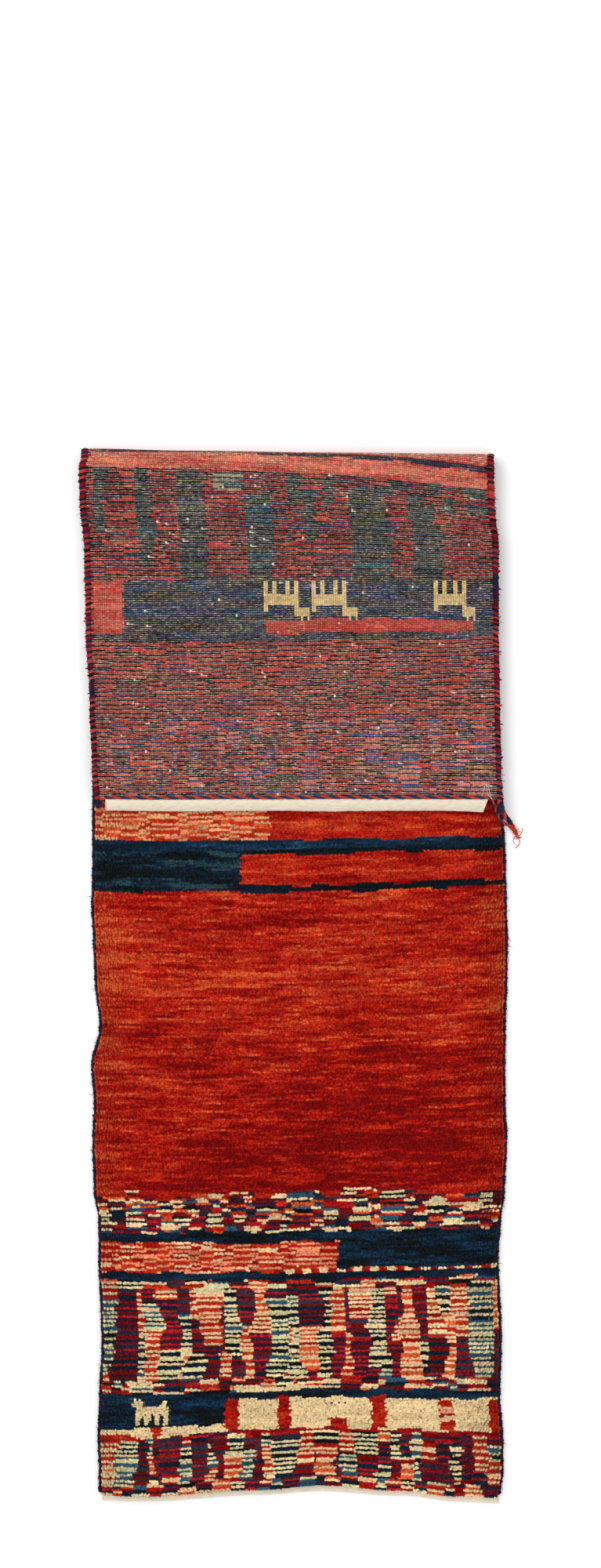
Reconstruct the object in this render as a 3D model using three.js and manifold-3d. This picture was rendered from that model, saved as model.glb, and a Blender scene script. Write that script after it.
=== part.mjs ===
// Hand-knotted gabbeh rug, a narrow runner lying pile up with one end folded over so that the
// flap shows its back. Millimetres, +Z up, floor at z = 0, and +Y runs towards the fold.
// Origin: on the floor under the middle of the folded rug.
import * as THREE from 'three';
import * as BufferGeometryUtils from 'three/addons/utils/BufferGeometryUtils.js';
import Module from 'manifold-3d';

const wasm = await Module();
wasm.setup();

// Cloth
const RUG_THICK = 13.6; // foundation and pile together
const HEM_THICK = 3.0; // plain weave without pile
const LAYER_GAP = 0.9; // between the two pile faces under the flap
const PILE_SWELL = 0.7; // gentle unevenness of the pile's surface
const FLAP_SWELL = 1.1; // gentle unevenness of the flap's back
const SWELL_LENGTH = 310; // from one swell to the next across, and along times SWELL_ALONG
const SWELL_ALONG = 0.83;
const SWELL_SLANT = 0.4; // swells run askew to the sides
const SWELL_FADE = 60; // over which the pile flattens towards the flap that lies on it
const CORNER_ROUND = 2.4; // rounding of the pile along the sides
const HEM_ROUND = 0.5;

// Fold
const FOLD_RADIUS = 17.2; // outside, at the back
const FOLD_LIFT_REACH = 62; // how far the open loop of the fold reaches into the flap

// Selvedge, an oval overcast cord along each side
const SELVEDGE_HEIGHT = 6.4;
const SELVEDGE_HALF = 5.0; // half its width
const SELVEDGE_HALF_FOLD = 6.5; // at the fold, where it spreads
const SELVEDGE_SPREAD_REACH = 300; // how far along the flap it stays wide
const SELVEDGE_SEAT = 0.1; // underside above the floor
const SELVEDGE_PROUD = 0.9; // above the flap's back
const SELVEDGE_SIDES = 8;
const PILE_OVERHANG = 5.6; // pile leaning out over the selvedge
const TOUCH = 0.3; // between pieces that touch

// Hem
const HEM_FLAP = { left: -298.8, right: 290.3, length: 17.5, droop: 8.0 };
const HEM_LOWER = { left: -304.8, right: 309.7, length: 10.5, droop: 0 };
const HEM_STEP_DOWN = 0.6; // hem's back below the knotted back on the flap
const PILE_END_WALL = 1.2; // run of the pile's cut end, from full height down to the hem

// Steps of the cloth
const LOWER_STEPS = 50;
const FOLD_STEPS = 10;
const FLAP_STEPS = 24;
const HEM_STEPS = 3;
const CROSS_STEPS = 13;
const EDGE_X = 320; // about where the sides lie, for looking up their place along

// Sides of the cloth, selvedges included: place along, left side, right side
const LOWER_SIDES = [
  { y: -802, left: -312.1, right: 313.3 },
  { y: -766, left: -310.9, right: 318.1 },
  { y: -718, left: -313.3, right: 318.1 },
  { y: -645, left: -310.9, right: 313.3 },
  { y: -572, left: -307.2, right: 315.7 },
  { y: -427, left: -312.1, right: 310.9 },
  { y: -378, left: -312.1, right: 314.5 },
  { y: -330, left: -319.4, right: 320.6 },
  { y: -257, left: -321.8, right: 324.2 },
  { y: -196, left: -319.4, right: 321.8 },
  { y: -136, left: -323.0, right: 321.2 },
  { y: -75, left: -310.9, right: 321.8 },
  { y: -2, left: -318.1, right: 324.2 },
  { y: 58, left: -320.6, right: 325.4 },
  { y: 107, left: -323.0, right: 323.6 },
  { y: 179, left: -321.8, right: 321.8 },
  { y: 330, left: -321.5, right: 312.0 },
  { y: 520, left: -328.0, right: 308.0 },
  { y: 700, left: -334.0, right: 304.5 },
  { y: 815, left: -335.0, right: 300.5 },
];
const FLAP_SIDES = [
  { y: 278, left: -316.9, right: 315.7 },
  { y: 325, left: -320.6, right: 313.3 },
  { y: 422, left: -324.2, right: 311.5 },
  { y: 543, left: -330.3, right: 309.7 },
  { y: 664, left: -332.7, right: 309.7 },
  { y: 737, left: -340.0, right: 303.6 },
  { y: 785, left: -341.2, right: 302.4 },
  { y: 815, left: -335.0, right: 300.5 },
];
// The knotted cloth's lower end, and the crest of the fold: place across, place along
const LOWER_END = [
  { x: -312, y: -798.0 },
  { x: -256, y: -800.0 },
  { x: -62, y: -790.0 },
  { x: 35, y: -783.0 },
  { x: 156, y: -791.0 },
  { x: 253, y: -800.0 },
  { x: 313, y: -802.0 },
];
const FOLD_CREST = [
  { x: -339, y: 819.3 },
  { x: -159, y: 815.7 },
  { x: 22, y: 813.3 },
  { x: 304, y: 810.8 },
];
const FLAP_END_Y = 276.5;

// Loose end of the right selvedge past the flap's corner: centre line, half width, half height
const TAIL = [
  { x: 311.4, y: 268.0, z: 25.0, half: 5.0, rise: 3.3 },
  { x: 313.8, y: 259.5, z: 22.6, half: 4.8, rise: 3.5 },
  { x: 318.4, y: 251.0, z: 20.2, half: 4.4, rise: 3.6 },
  { x: 324.4, y: 243.8, z: 17.0, half: 4.1, rise: 3.6 },
  { x: 329.2, y: 238.8, z: 13.2, half: 3.4, rise: 3.2 },
];
const TAIL_PITCH = 17; // both colours once round
const TAIL_RIDGE = 0.5;
const TAIL_STEPS = 34;

// Knot that ends the left selvedge
const KNOT = [
  { x: -311.4, y: 273.6, z: 26.0, half: 5.4, rise: 3.8 },
  { x: -309.8, y: 270.0, z: 25.6, half: 6.0, rise: 4.6 },
  { x: -308.4, y: 266.6, z: 25.0, half: 5.2, rise: 4.0 },
  { x: -307.4, y: 264.4, z: 24.6, half: 3.0, rise: 2.4 },
];
const KNOT_STEPS = 7;

// Twining: a two-ply line on the flap's back, and its free end
const TWINING_HALF = 2.7;
const TWINING_RISE = 1.3;
const TWINING_PITCH = 25; // one dark and one red dash
const TWINING_RIDGE = 0.3;
const TWINING_STEPS_PER_DASH = 3;
const TWINING_SIDES = 6;
const TWINING_LINE = { left: -300, right: 284, y: 280.2 };
const TWINING_FREE = [
  { x: 291.0, y: 279.5, z: 30.9 },
  { x: 296.5, y: 276.8, z: 31.0 },
  { x: 300.4, y: 272.0, z: 29.6 },
  { x: 302.8, y: 266.0, z: 25.8 },
  { x: 305.0, y: 258.0, z: 21.0 },
  { x: 309.0, y: 249.5, z: 18.1 },
  { x: 315.0, y: 242.0, z: 17.4 },
  { x: 321.0, y: 236.4, z: 16.6 },
];
const TWINING_FREE_STEPS = 18;
const TWINING_FREE_SIZE = { half: 2.2, rise: 1.7 };
const TWINING_FREE_RIDGE = 0.2;

// Frayed yarns: a stem that comes down to the floor, and strands that lie on it.
// from: where on the stem a strand starts, 0 to 1; headings and turns in degrees, left is positive
const STEM = [
  { x: 329.5, y: 238.5, z: 12.9, half: 2.6 },
  { x: 332.0, y: 235.9, z: 10.6, half: 2.5 },
  { x: 334.6, y: 231.4, z: 5.8, half: 2.3 },
  { x: 337.2, y: 224.6, z: 2.8, half: 2.2 },
  { x: 339.4, y: 217.5, z: 2.7, half: 2.3 },
];
const STEM_STEPS = 9;
const STEM_SIDES = 8;
const STEM_RIDGE = 0.3;
const STRANDS = [
  { from: 1.0, heading: 48, turn: 40, length: 18, thick: 1.7 },
  { from: 0.8, heading: 62, turn: -50, length: 7, thick: 1.5 },
  { from: 1.0, heading: -15, turn: 12, length: 10, thick: 2.0 },
  { from: 1.0, heading: -50, turn: -112, length: 23, thick: 1.6 },
  { from: 1.0, heading: -115, turn: 30, length: 12, thick: 1.7 },
  { from: 0.86, heading: -172, turn: 62, length: 15, thick: 1.5 },
  { from: 0.45, heading: -132, turn: 44, length: 12, thick: 1.5 },
];
const STRAND_STEPS = 10;
const STRAND_TAPER = 0.7; // thickness left at the tip

const COLOURS = { rug: 0xa82b1a, selvedge: 0x4a1c38, twining: 0x1b3a55, yarn: 0xb5332c };

const { clamp, degToRad, lerp } = THREE.MathUtils;
const ease = (t) => (1 - Math.cos(Math.PI * t)) / 2;

// A table column at a place, eased between its rows and held past its ends
function read(rows, key, at, column) {
  const next = rows.findIndex((row) => at <= row[key]);
  if (next === 0) return rows[0][column];
  if (next < 0) return rows[rows.length - 1][column];
  const [a, b] = [rows[next - 1], rows[next]];
  return lerp(a[column], b[column], ease((at - a[key]) / (b[key] - a[key])));
}

// Slow swell of a surface, from 0 to 1
function swell(x, y) {
  const wave = (place, length) => Math.sin((2 * Math.PI * place) / length);
  const across = wave(x + SWELL_SLANT * y, SWELL_LENGTH);
  const along = wave(y - SWELL_SLANT * x, SWELL_ALONG * SWELL_LENGTH);
  return (2 + across + along) / 4;
}

// How much of the fold's open loop is left, from 1 at the fold to 0 past its reach
function lift(x, y) {
  return 1 - ease(clamp((foldCentre(x) - y) / FOLD_LIFT_REACH, 0, 1));
}

const foldCentre = (x) => read(FOLD_CREST, 'x', x, 'y') - FOLD_RADIUS;

// Height of the flap's back
function flapBack(x, y) {
  const flat = 2 * RUG_THICK + LAYER_GAP;
  const loop = lift(x, y);
  return flat + (2 * FOLD_RADIUS - flat) * loop + FLAP_SWELL * swell(x, y) * (1 - loop);
}

// Height that the pile's surface has above its plain thickness, none under the flap
function pileSwell(x, y) {
  const free = clamp((FLAP_END_Y - HEM_FLAP.length - y) / SWELL_FADE, 0, 1);
  return PILE_SWELL * (2 * swell(x, y) - 1) * ease(free);
}

// Depth from the back down to the shelf of pile that covers the selvedge
const SHELF = SELVEDGE_SEAT + SELVEDGE_HEIGHT + TOUCH;

// Cross sections of the cloth. side(hand) is the outer side, selvedge included, half is half of
// the selvedge's width there, proud how far it stands out at the back, and place(x, depth) the
// point at a depth from the back towards the pile.
function lowerSection(t) {
  const along = (x) => lerp(read(LOWER_END, 'x', x, 'y'), foldCentre(x), t);
  return {
    side: (hand) => read(LOWER_SIDES, 'y', along(hand * EDGE_X), hand < 0 ? 'left' : 'right'),
    half: SELVEDGE_HALF,
    proud: -SELVEDGE_SEAT,
    place: (x, depth) => {
      const y = along(x);
      return new THREE.Vector3(x, y, depth > SHELF ? depth + pileSwell(x, y) : depth);
    },
  };
}

function foldSection(t) {
  const angle = Math.PI * (t - 0.5);
  const sideOf = (rows, hand) =>
    read(rows, 'y', foldCentre(hand * EDGE_X), hand < 0 ? 'left' : 'right');
  return {
    side: (hand) => lerp(sideOf(LOWER_SIDES, hand), sideOf(FLAP_SIDES, hand), t),
    half: lerp(SELVEDGE_HALF, SELVEDGE_HALF_FOLD, t),
    proud: lerp(-SELVEDGE_SEAT, SELVEDGE_PROUD, t),
    place: (x, depth) => {
      const radius = FOLD_RADIUS - depth;
      const y = foldCentre(x) + radius * Math.cos(angle);
      return new THREE.Vector3(x, y, FOLD_RADIUS + radius * Math.sin(angle));
    },
  };
}

function flapSection(t) {
  const along = (x) => lerp(foldCentre(x), FLAP_END_Y, t);
  const run = (foldCentre(0) - FLAP_END_Y) * t;
  const spread = 1 - ease(Math.min(run / SELVEDGE_SPREAD_REACH, 1));
  return {
    side: (hand) => read(FLAP_SIDES, 'y', along(hand * EDGE_X), hand < 0 ? 'left' : 'right'),
    half: lerp(SELVEDGE_HALF, SELVEDGE_HALF_FOLD, spread),
    proud: SELVEDGE_PROUD,
    place: (x, depth) => {
      const y = along(x);
      return new THREE.Vector3(x, y, flapBack(x, y) - depth);
    },
  };
}

const SIDE_POINTS = 3; // of a ring, on each side between pile face and back face

// Closed ring of a cloth section: pile face left to right, right side, back face, left side.
// The back runs from x = left to x = right, and the pile stands out past it by reach
function clothRing(place, left, right, sidePoints, reach, thick) {
  const across = Array.from({ length: CROSS_STEPS + 1 }, (_, i) => i / CROSS_STEPS);
  const pile = across.map((t) => place(lerp(left - reach, right + reach, t), thick));
  const rightSide = sidePoints.map(([out, depth]) => place(right + out, depth));
  const back = across.map((t) => place(lerp(right, left, t), 0));
  const leftSide = sidePoints.map(([out, depth]) => place(left - out, depth)).reverse();
  return [...pile, ...rightSide, ...back, ...leftSide];
}

function pileRing(section) {
  const inset = 2 * section.half + TOUCH;
  const sidePoints = [
    [PILE_OVERHANG, RUG_THICK - CORNER_ROUND],
    [PILE_OVERHANG, SHELF],
    [0, SHELF],
  ];
  const [left, right] = [section.side(-1) + inset, section.side(1) - inset];
  const reach = PILE_OVERHANG - CORNER_ROUND;
  return clothRing(section.place, left, right, sidePoints, reach, RUG_THICK);
}

// Hem ring at a share t of the hem's length past the knotted end
function hemRing(hem, end, t) {
  const run = lerp(PILE_END_WALL, hem.length, t);
  const sidePoints = [3, 2, 1].map((k) => [0, (k * HEM_THICK) / (SIDE_POINTS + 1)]);
  const place = (x, depth) => {
    const edge = end.place(x, 0);
    const height = end.up * (depth - HEM_THICK) - hem.droop * t * t;
    return new THREE.Vector3(x, edge.y - run, end.base(x) + height);
  };
  return clothRing(place, hem.left, hem.right, sidePoints, -HEM_ROUND, HEM_THICK);
}

// Solid skinned over rings that run anticlockwise about the way they go on
function loft(rings, cap) {
  const [count, size] = [rings.length, rings[0].length];
  const points = rings.flat().flatMap((p) => [p.x, p.y, p.z]);
  const faces = [];
  for (let i = 0; i + 1 < count; i++) {
    for (let j = 0; j < size; j++) {
      const [a, b] = [i * size + j, i * size + ((j + 1) % size)];
      faces.push(a, b, a + size, b, b + size, a + size);
    }
  }
  for (const [a, b, c] of cap) {
    const last = (count - 1) * size;
    faces.push(a, c, b, last + a, last + b, last + c);
  }
  const geometry = new THREE.BufferGeometry();
  geometry.setAttribute('position', new THREE.Float32BufferAttribute(points, 3));
  geometry.setIndex(faces);
  geometry.computeVertexNormals();
  return geometry;
}

// End faces of a cloth ring: a ladder between pile face and back face, and a fan at each side
function clothCap() {
  const last = CROSS_STEPS;
  const back = (i) => 2 * last + 1 + SIDE_POINTS - i; // back point under pile point i
  const size = 2 * (last + 1 + SIDE_POINTS);
  const cap = [];
  for (let i = 0; i < last; i++) cap.push([i, i + 1, back(i)], [i + 1, back(i + 1), back(i)]);
  for (let k = 0; k < SIDE_POINTS; k++) {
    cap.push([last, last + 1 + k, last + 2 + k], [0, size - 2 - k, size - 1 - k]);
  }
  return cap;
}

const fan = (sides) => Array.from({ length: sides - 2 }, (_, i) => [0, i + 1, i + 2]);

// Steps 0 to 1 of a run, its last one left to the run that follows
const steps = (count) => Array.from({ length: count }, (_, i) => i / count);

const sections = [
  ...steps(LOWER_STEPS).map(lowerSection),
  ...steps(FOLD_STEPS).map(foldSection),
  ...steps(FLAP_STEPS).map(flapSection),
  flapSection(1),
];

function rugGeometry() {
  const [first, last] = [sections[0], sections[sections.length - 1]];
  const share = Array.from({ length: HEM_STEPS + 1 }, (_, i) => i / HEM_STEPS);
  const lower = { place: first.place, up: 1, base: () => HEM_THICK };
  const flap = {
    place: last.place,
    up: -1,
    base: (x) => flapBack(x, FLAP_END_Y) - HEM_STEP_DOWN - HEM_THICK,
  };
  const rings = [
    ...share.map((t) => hemRing(HEM_LOWER, lower, t)).reverse(),
    ...sections.map(pileRing),
    ...share.map((t) => hemRing(HEM_FLAP, flap, t)),
  ];
  return loft(rings, clothCap());
}

// Oval ring; a ridge of two plies stands out at the angle given
function ovalRing(centre, side, out, half, rise, sides, ridge = 0, twist = 0) {
  return Array.from({ length: sides }, (_, i) => {
    const angle = (2 * Math.PI * (i + 0.5)) / sides;
    const swollen = ridge * Math.cos(2 * (angle - twist));
    return centre
      .clone()
      .addScaledVector(side, (half + swollen) * Math.cos(angle))
      .addScaledVector(out, (rise + swollen) * Math.sin(angle));
  });
}

// Rings of a cord whose centre line and sizes come from a table, after a start already made
function cordRings(rows, count, start, pitch, ridge, sides) {
  const table = start ? [start, ...rows] : rows;
  const curve = new THREE.CatmullRomCurve3(
    table.map((row) => new THREE.Vector3(row.x, row.y, row.z)),
    false,
    'centripetal',
  );
  const length = curve.getLength();
  const rings = [];
  for (let i = start ? 1 : 0; i <= count; i++) {
    const t = i / count;
    const row = t * (table.length - 1);
    const [a, b] = [table[Math.floor(row)], table[Math.ceil(row)]];
    const out = new THREE.Vector3();
    const along = curve.getTangent(t);
    const side = new THREE.Vector3(0, 0, 1).cross(along).normalize();
    out.crossVectors(along, side);
    const half = lerp(a.half, b.half, row % 1);
    const rise = lerp(a.rise ?? a.half, b.rise ?? b.half, row % 1);
    const turn = (2 * Math.PI * t * length) / pitch;
    rings.push(ovalRing(curve.getPoint(t), side, out, half, rise, sides, ridge * t, turn));
  }
  return rings;
}

// Selvedge along one side of the whole folded cloth, and what follows at the flap's corner
function selvedgeRun(hand) {
  const side = new THREE.Vector3(1, 0, 0);
  return sections.map((section, i) => {
    const x = section.side(hand) - hand * section.half;
    const depth = SELVEDGE_HEIGHT / 2 - section.proud;
    const centre = section.place(x, depth);
    const out = section.place(x, 0).sub(centre).normalize();
    if (i === 0) centre.y += PILE_END_WALL; // stops short of the hem
    return { centre, side, out, half: section.half, rise: SELVEDGE_HEIGHT / 2 };
  });
}

function selvedgeGeometry(hand, rows, count, ridge) {
  const run = selvedgeRun(hand);
  const rings = run.map((r) =>
    ovalRing(r.centre, r.side, r.out, r.half, r.rise, SELVEDGE_SIDES),
  );
  const last = run[run.length - 1];
  const { x, y, z } = last.centre;
  const start = { x, y, z, half: last.half, rise: last.rise };
  rings.push(...cordRings(rows, count, start, TAIL_PITCH, ridge, SELVEDGE_SIDES));
  return loft(rings, fan(SELVEDGE_SIDES));
}

// Two-ply line laid along the flap's end, then its free end
function twiningGeometry() {
  const { left, right, y } = TWINING_LINE;
  const side = new THREE.Vector3(0, 1, 0);
  const out = new THREE.Vector3(0, 0, 1);
  const dash = TWINING_PITCH / 2;
  const count = Math.round(((right - left) / dash) * TWINING_STEPS_PER_DASH);
  const rings = [];
  for (let i = 0; i <= count; i++) {
    const x = lerp(left, right, i / count);
    const bulge = TWINING_RIDGE * Math.cos((2 * Math.PI * (x - left)) / dash);
    const rise = TWINING_RISE - Math.abs(bulge) / 2;
    const centre = new THREE.Vector3(x, y, flapBack(x, y) + TOUCH + TWINING_RISE);
    rings.push(ovalRing(centre, side, out, TWINING_HALF + bulge, rise, TWINING_SIDES));
  }
  const size = { half: TWINING_HALF, rise: TWINING_RISE };
  const start = { x: right, y, z: flapBack(right, y) + TOUCH + TWINING_RISE, ...size };
  const rows = TWINING_FREE.map((row) => ({ ...row, ...TWINING_FREE_SIZE }));
  const free = cordRings(rows, TWINING_FREE_STEPS, start, dash, TWINING_FREE_RIDGE, TWINING_SIDES);
  return loft([...rings, ...free], fan(TWINING_SIDES));
}

// Strand lying on the floor from a point of the stem, turning steadily as it goes
function strandGeometry(row, stem) {
  const root = stem.getPoint(row.from);
  const rings = [];
  const at = root.clone();
  const flat = Math.SQRT1_2;
  for (let i = 0; i <= STRAND_STEPS; i++) {
    const t = i / STRAND_STEPS;
    const heading = degToRad(row.heading + row.turn * t);
    const along = new THREE.Vector3(Math.cos(heading), Math.sin(heading), 0);
    if (i > 0) at.addScaledVector(along, row.length / STRAND_STEPS);
    const half = (row.thick / 2) * lerp(1, STRAND_TAPER, t);
    const settle = ease(Math.min(3 * t, 1));
    const centre = new THREE.Vector3(at.x, at.y, lerp(root.z, half, settle));
    const side = new THREE.Vector3(0, 0, 1).cross(along);
    const out = new THREE.Vector3(0, 0, 1);
    rings.push(ovalRing(centre, side, out, half / flat, half / flat, 4));
  }
  return loft(rings, fan(4));
}

const toManifold = (geometry) => {
  const bare = geometry.clone();
  bare.deleteAttribute('normal');
  const merged = BufferGeometryUtils.mergeVertices(bare);
  return new wasm.Manifold(
    new wasm.Mesh({
      numProp: 3,
      vertProperties: new Float32Array(merged.attributes.position.array),
      triVerts: new Uint32Array(merged.index.array),
    }),
  );
};

const fromManifold = (solid) => {
  const mesh = solid.getMesh();
  const geometry = new THREE.BufferGeometry();
  geometry.setAttribute('position', new THREE.BufferAttribute(mesh.vertProperties, 3));
  geometry.setIndex(new THREE.BufferAttribute(mesh.triVerts, 1));
  geometry.computeVertexNormals();
  return geometry;
};

// Stem of red yarns with its strands fused on at their roots
function yarnGeometry() {
  const stem = new THREE.CatmullRomCurve3(
    STEM.map((row) => new THREE.Vector3(row.x, row.y, row.z)),
    false,
    'centripetal',
  );
  const rings = cordRings(STEM, STEM_STEPS, null, TAIL_PITCH, STEM_RIDGE, STEM_SIDES);
  const body = loft(rings, fan(STEM_SIDES));
  const strands = STRANDS.map((row) => toManifold(strandGeometry(row, stem)));
  return fromManifold(strands.reduce((sum, strand) => sum.add(strand), toManifold(body)));
}

function piece(name, geometry, colour, roughness) {
  const material = new THREE.MeshStandardMaterial({ color: colour, roughness, metalness: 0 });
  const mesh = new THREE.Mesh(geometry, material);
  mesh.name = name;
  return mesh;
}

const rug = new THREE.Group();
rug.add(
  piece('rug', rugGeometry(), COLOURS.rug, 0.95),
  piece('selvedge_left', selvedgeGeometry(-1, KNOT, KNOT_STEPS, 0), COLOURS.selvedge, 0.9),
  piece('selvedge_right', selvedgeGeometry(1, TAIL, TAIL_STEPS, TAIL_RIDGE), COLOURS.selvedge, 0.9),
  piece('twining', twiningGeometry(), COLOURS.twining, 0.9),
  piece('yarn_ends', yarnGeometry(), COLOURS.yarn, 0.9),
);

export default rug;
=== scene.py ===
import logging
import math
from collections.abc import Sequence
from dataclasses import dataclass, field
from enum import Enum
from typing import Optional, Union

import bpy
import numpy as np
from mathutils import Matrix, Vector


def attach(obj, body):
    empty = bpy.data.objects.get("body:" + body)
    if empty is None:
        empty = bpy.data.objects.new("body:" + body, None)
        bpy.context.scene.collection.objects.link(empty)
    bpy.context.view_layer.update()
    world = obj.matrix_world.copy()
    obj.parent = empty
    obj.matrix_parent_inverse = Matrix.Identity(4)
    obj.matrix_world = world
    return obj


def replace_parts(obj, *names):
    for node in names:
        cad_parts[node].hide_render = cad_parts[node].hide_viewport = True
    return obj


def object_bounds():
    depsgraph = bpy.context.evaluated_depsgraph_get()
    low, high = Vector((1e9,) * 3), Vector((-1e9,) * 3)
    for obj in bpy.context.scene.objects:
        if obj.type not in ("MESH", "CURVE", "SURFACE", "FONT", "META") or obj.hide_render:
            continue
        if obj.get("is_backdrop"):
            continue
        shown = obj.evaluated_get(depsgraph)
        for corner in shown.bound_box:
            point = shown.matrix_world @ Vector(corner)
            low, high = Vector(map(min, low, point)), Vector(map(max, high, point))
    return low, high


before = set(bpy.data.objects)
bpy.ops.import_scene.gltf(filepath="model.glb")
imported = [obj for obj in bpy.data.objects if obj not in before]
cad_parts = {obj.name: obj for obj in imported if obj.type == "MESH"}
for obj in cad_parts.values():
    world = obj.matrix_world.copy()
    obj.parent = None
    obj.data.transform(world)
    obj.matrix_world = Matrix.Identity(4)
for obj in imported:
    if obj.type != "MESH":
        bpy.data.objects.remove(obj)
cad_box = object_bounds()

Array = np.ndarray
Places = Union[float, Array]

LOG = logging.getLogger("gabbeh")
MM = 0.001
BODY = "root"

# The weave
KNOTS = 92  # across, between the selvedges
NODES = 2 * KNOTS  # each knot shows as two nodes
ROWS = 649  # from the lower end to the end of the flap
ROW_PITCH = 3.34  # mm
OPEN_ROWS = 322  # rows whose pile lies open, before the flap covers it
FIRST_BACK_ROW = 472  # the woven back shows from here, in the fold's lower half

# Sides of the cloth, selvedges included, in mm: place along, left side, right side
LOWER_SIDES = (
    (-802, -312.1, 313.3),
    (-766, -310.9, 318.1),
    (-718, -313.3, 318.1),
    (-645, -310.9, 313.3),
    (-572, -307.2, 315.7),
    (-427, -312.1, 310.9),
    (-378, -312.1, 314.5),
    (-330, -319.4, 320.6),
    (-257, -321.8, 324.2),
    (-196, -319.4, 321.8),
    (-136, -323.0, 321.2),
    (-75, -310.9, 321.8),
    (-2, -318.1, 324.2),
    (58, -320.6, 325.4),
    (107, -323.0, 323.6),
    (179, -321.8, 321.8),
    (330, -321.5, 312.0),
    (520, -328.0, 308.0),
    (700, -334.0, 304.5),
    (815, -335.0, 300.5),
)
FLAP_SIDES = (
    (278, -316.9, 315.7),
    (325, -320.6, 313.3),
    (422, -324.2, 311.5),
    (543, -330.3, 309.7),
    (664, -332.7, 309.7),
    (737, -340.0, 303.6),
    (785, -341.2, 302.4),
    (815, -335.0, 300.5),
)
# The lower end of the knots and the crest of the fold, in mm: place across, place along
LOWER_END = (
    (-312, -798.0),
    (-256, -800.0),
    (-62, -790.0),
    (35, -783.0),
    (156, -791.0),
    (253, -800.0),
    (313, -802.0),
)
FOLD_CREST = ((-339, 819.3), (-159, 815.7), (22, 813.3), (304, 810.8))
FLAP_END = 276.5  # mm, where the flap's hem starts
EDGE_X = 320.0  # mm, about where both sides lie

# How the rows run askew: row, then how far along the back it lies from the fold's crest, in mm,
# at the left side, in the middle and at the right side
WEAVE_LINES = (
    (0, -1627, -1608, -1623),
    (27, -1537, -1519, -1525),
    (46, -1471, -1460, -1457),
    (99, -1293, -1288, -1276),
    (121, -1222, -1216, -1206),
    (139, -1162, -1155, -1143),
    (280, -690, -688, -674),
    (296, -640, -629, -618),
    (303, -614, -608, -597),
    (316, -570, -562, -552),
    (484, -10, -10, 14),
    (491, 12, 12, 38),
    (500, 41, 43, 66),
    (548, 216, 210, 207),
    (566, 276, 271, 268),
    (576, 308, 302, 292),
    (649, 552.6, 546.9, 544.1),
)


def eased(share: Places) -> Array:
    """Cosine ease of a share from 0 to 1."""
    return (1 - np.cos(np.pi * np.clip(share, 0, 1))) / 2


def look_up(table: Sequence[Sequence[float]], at: Places, column: int) -> Array:
    """Reads a column of a table, eased between its rows and held past its ends.

    Args:
        table: Rows that start with a place, in rising order.
        at: Places to read at.
        column: Which number of a row to read.

    Returns:
        The column's value at each place.
    """
    rows = np.array(table, float)
    at = np.asarray(at, float)
    i = np.clip(np.searchsorted(rows[:, 0], at) - 1, 0, len(rows) - 2)
    share = eased((at - rows[i, 0]) / (rows[i + 1, 0] - rows[i, 0]))
    return rows[i, column] * (1 - share) + rows[i + 1, column] * share


def mixed(first: Array, second: Array, share: Places) -> Array:
    """First where share is 0, second where it is 1."""
    return first + (second - first) * share


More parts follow.
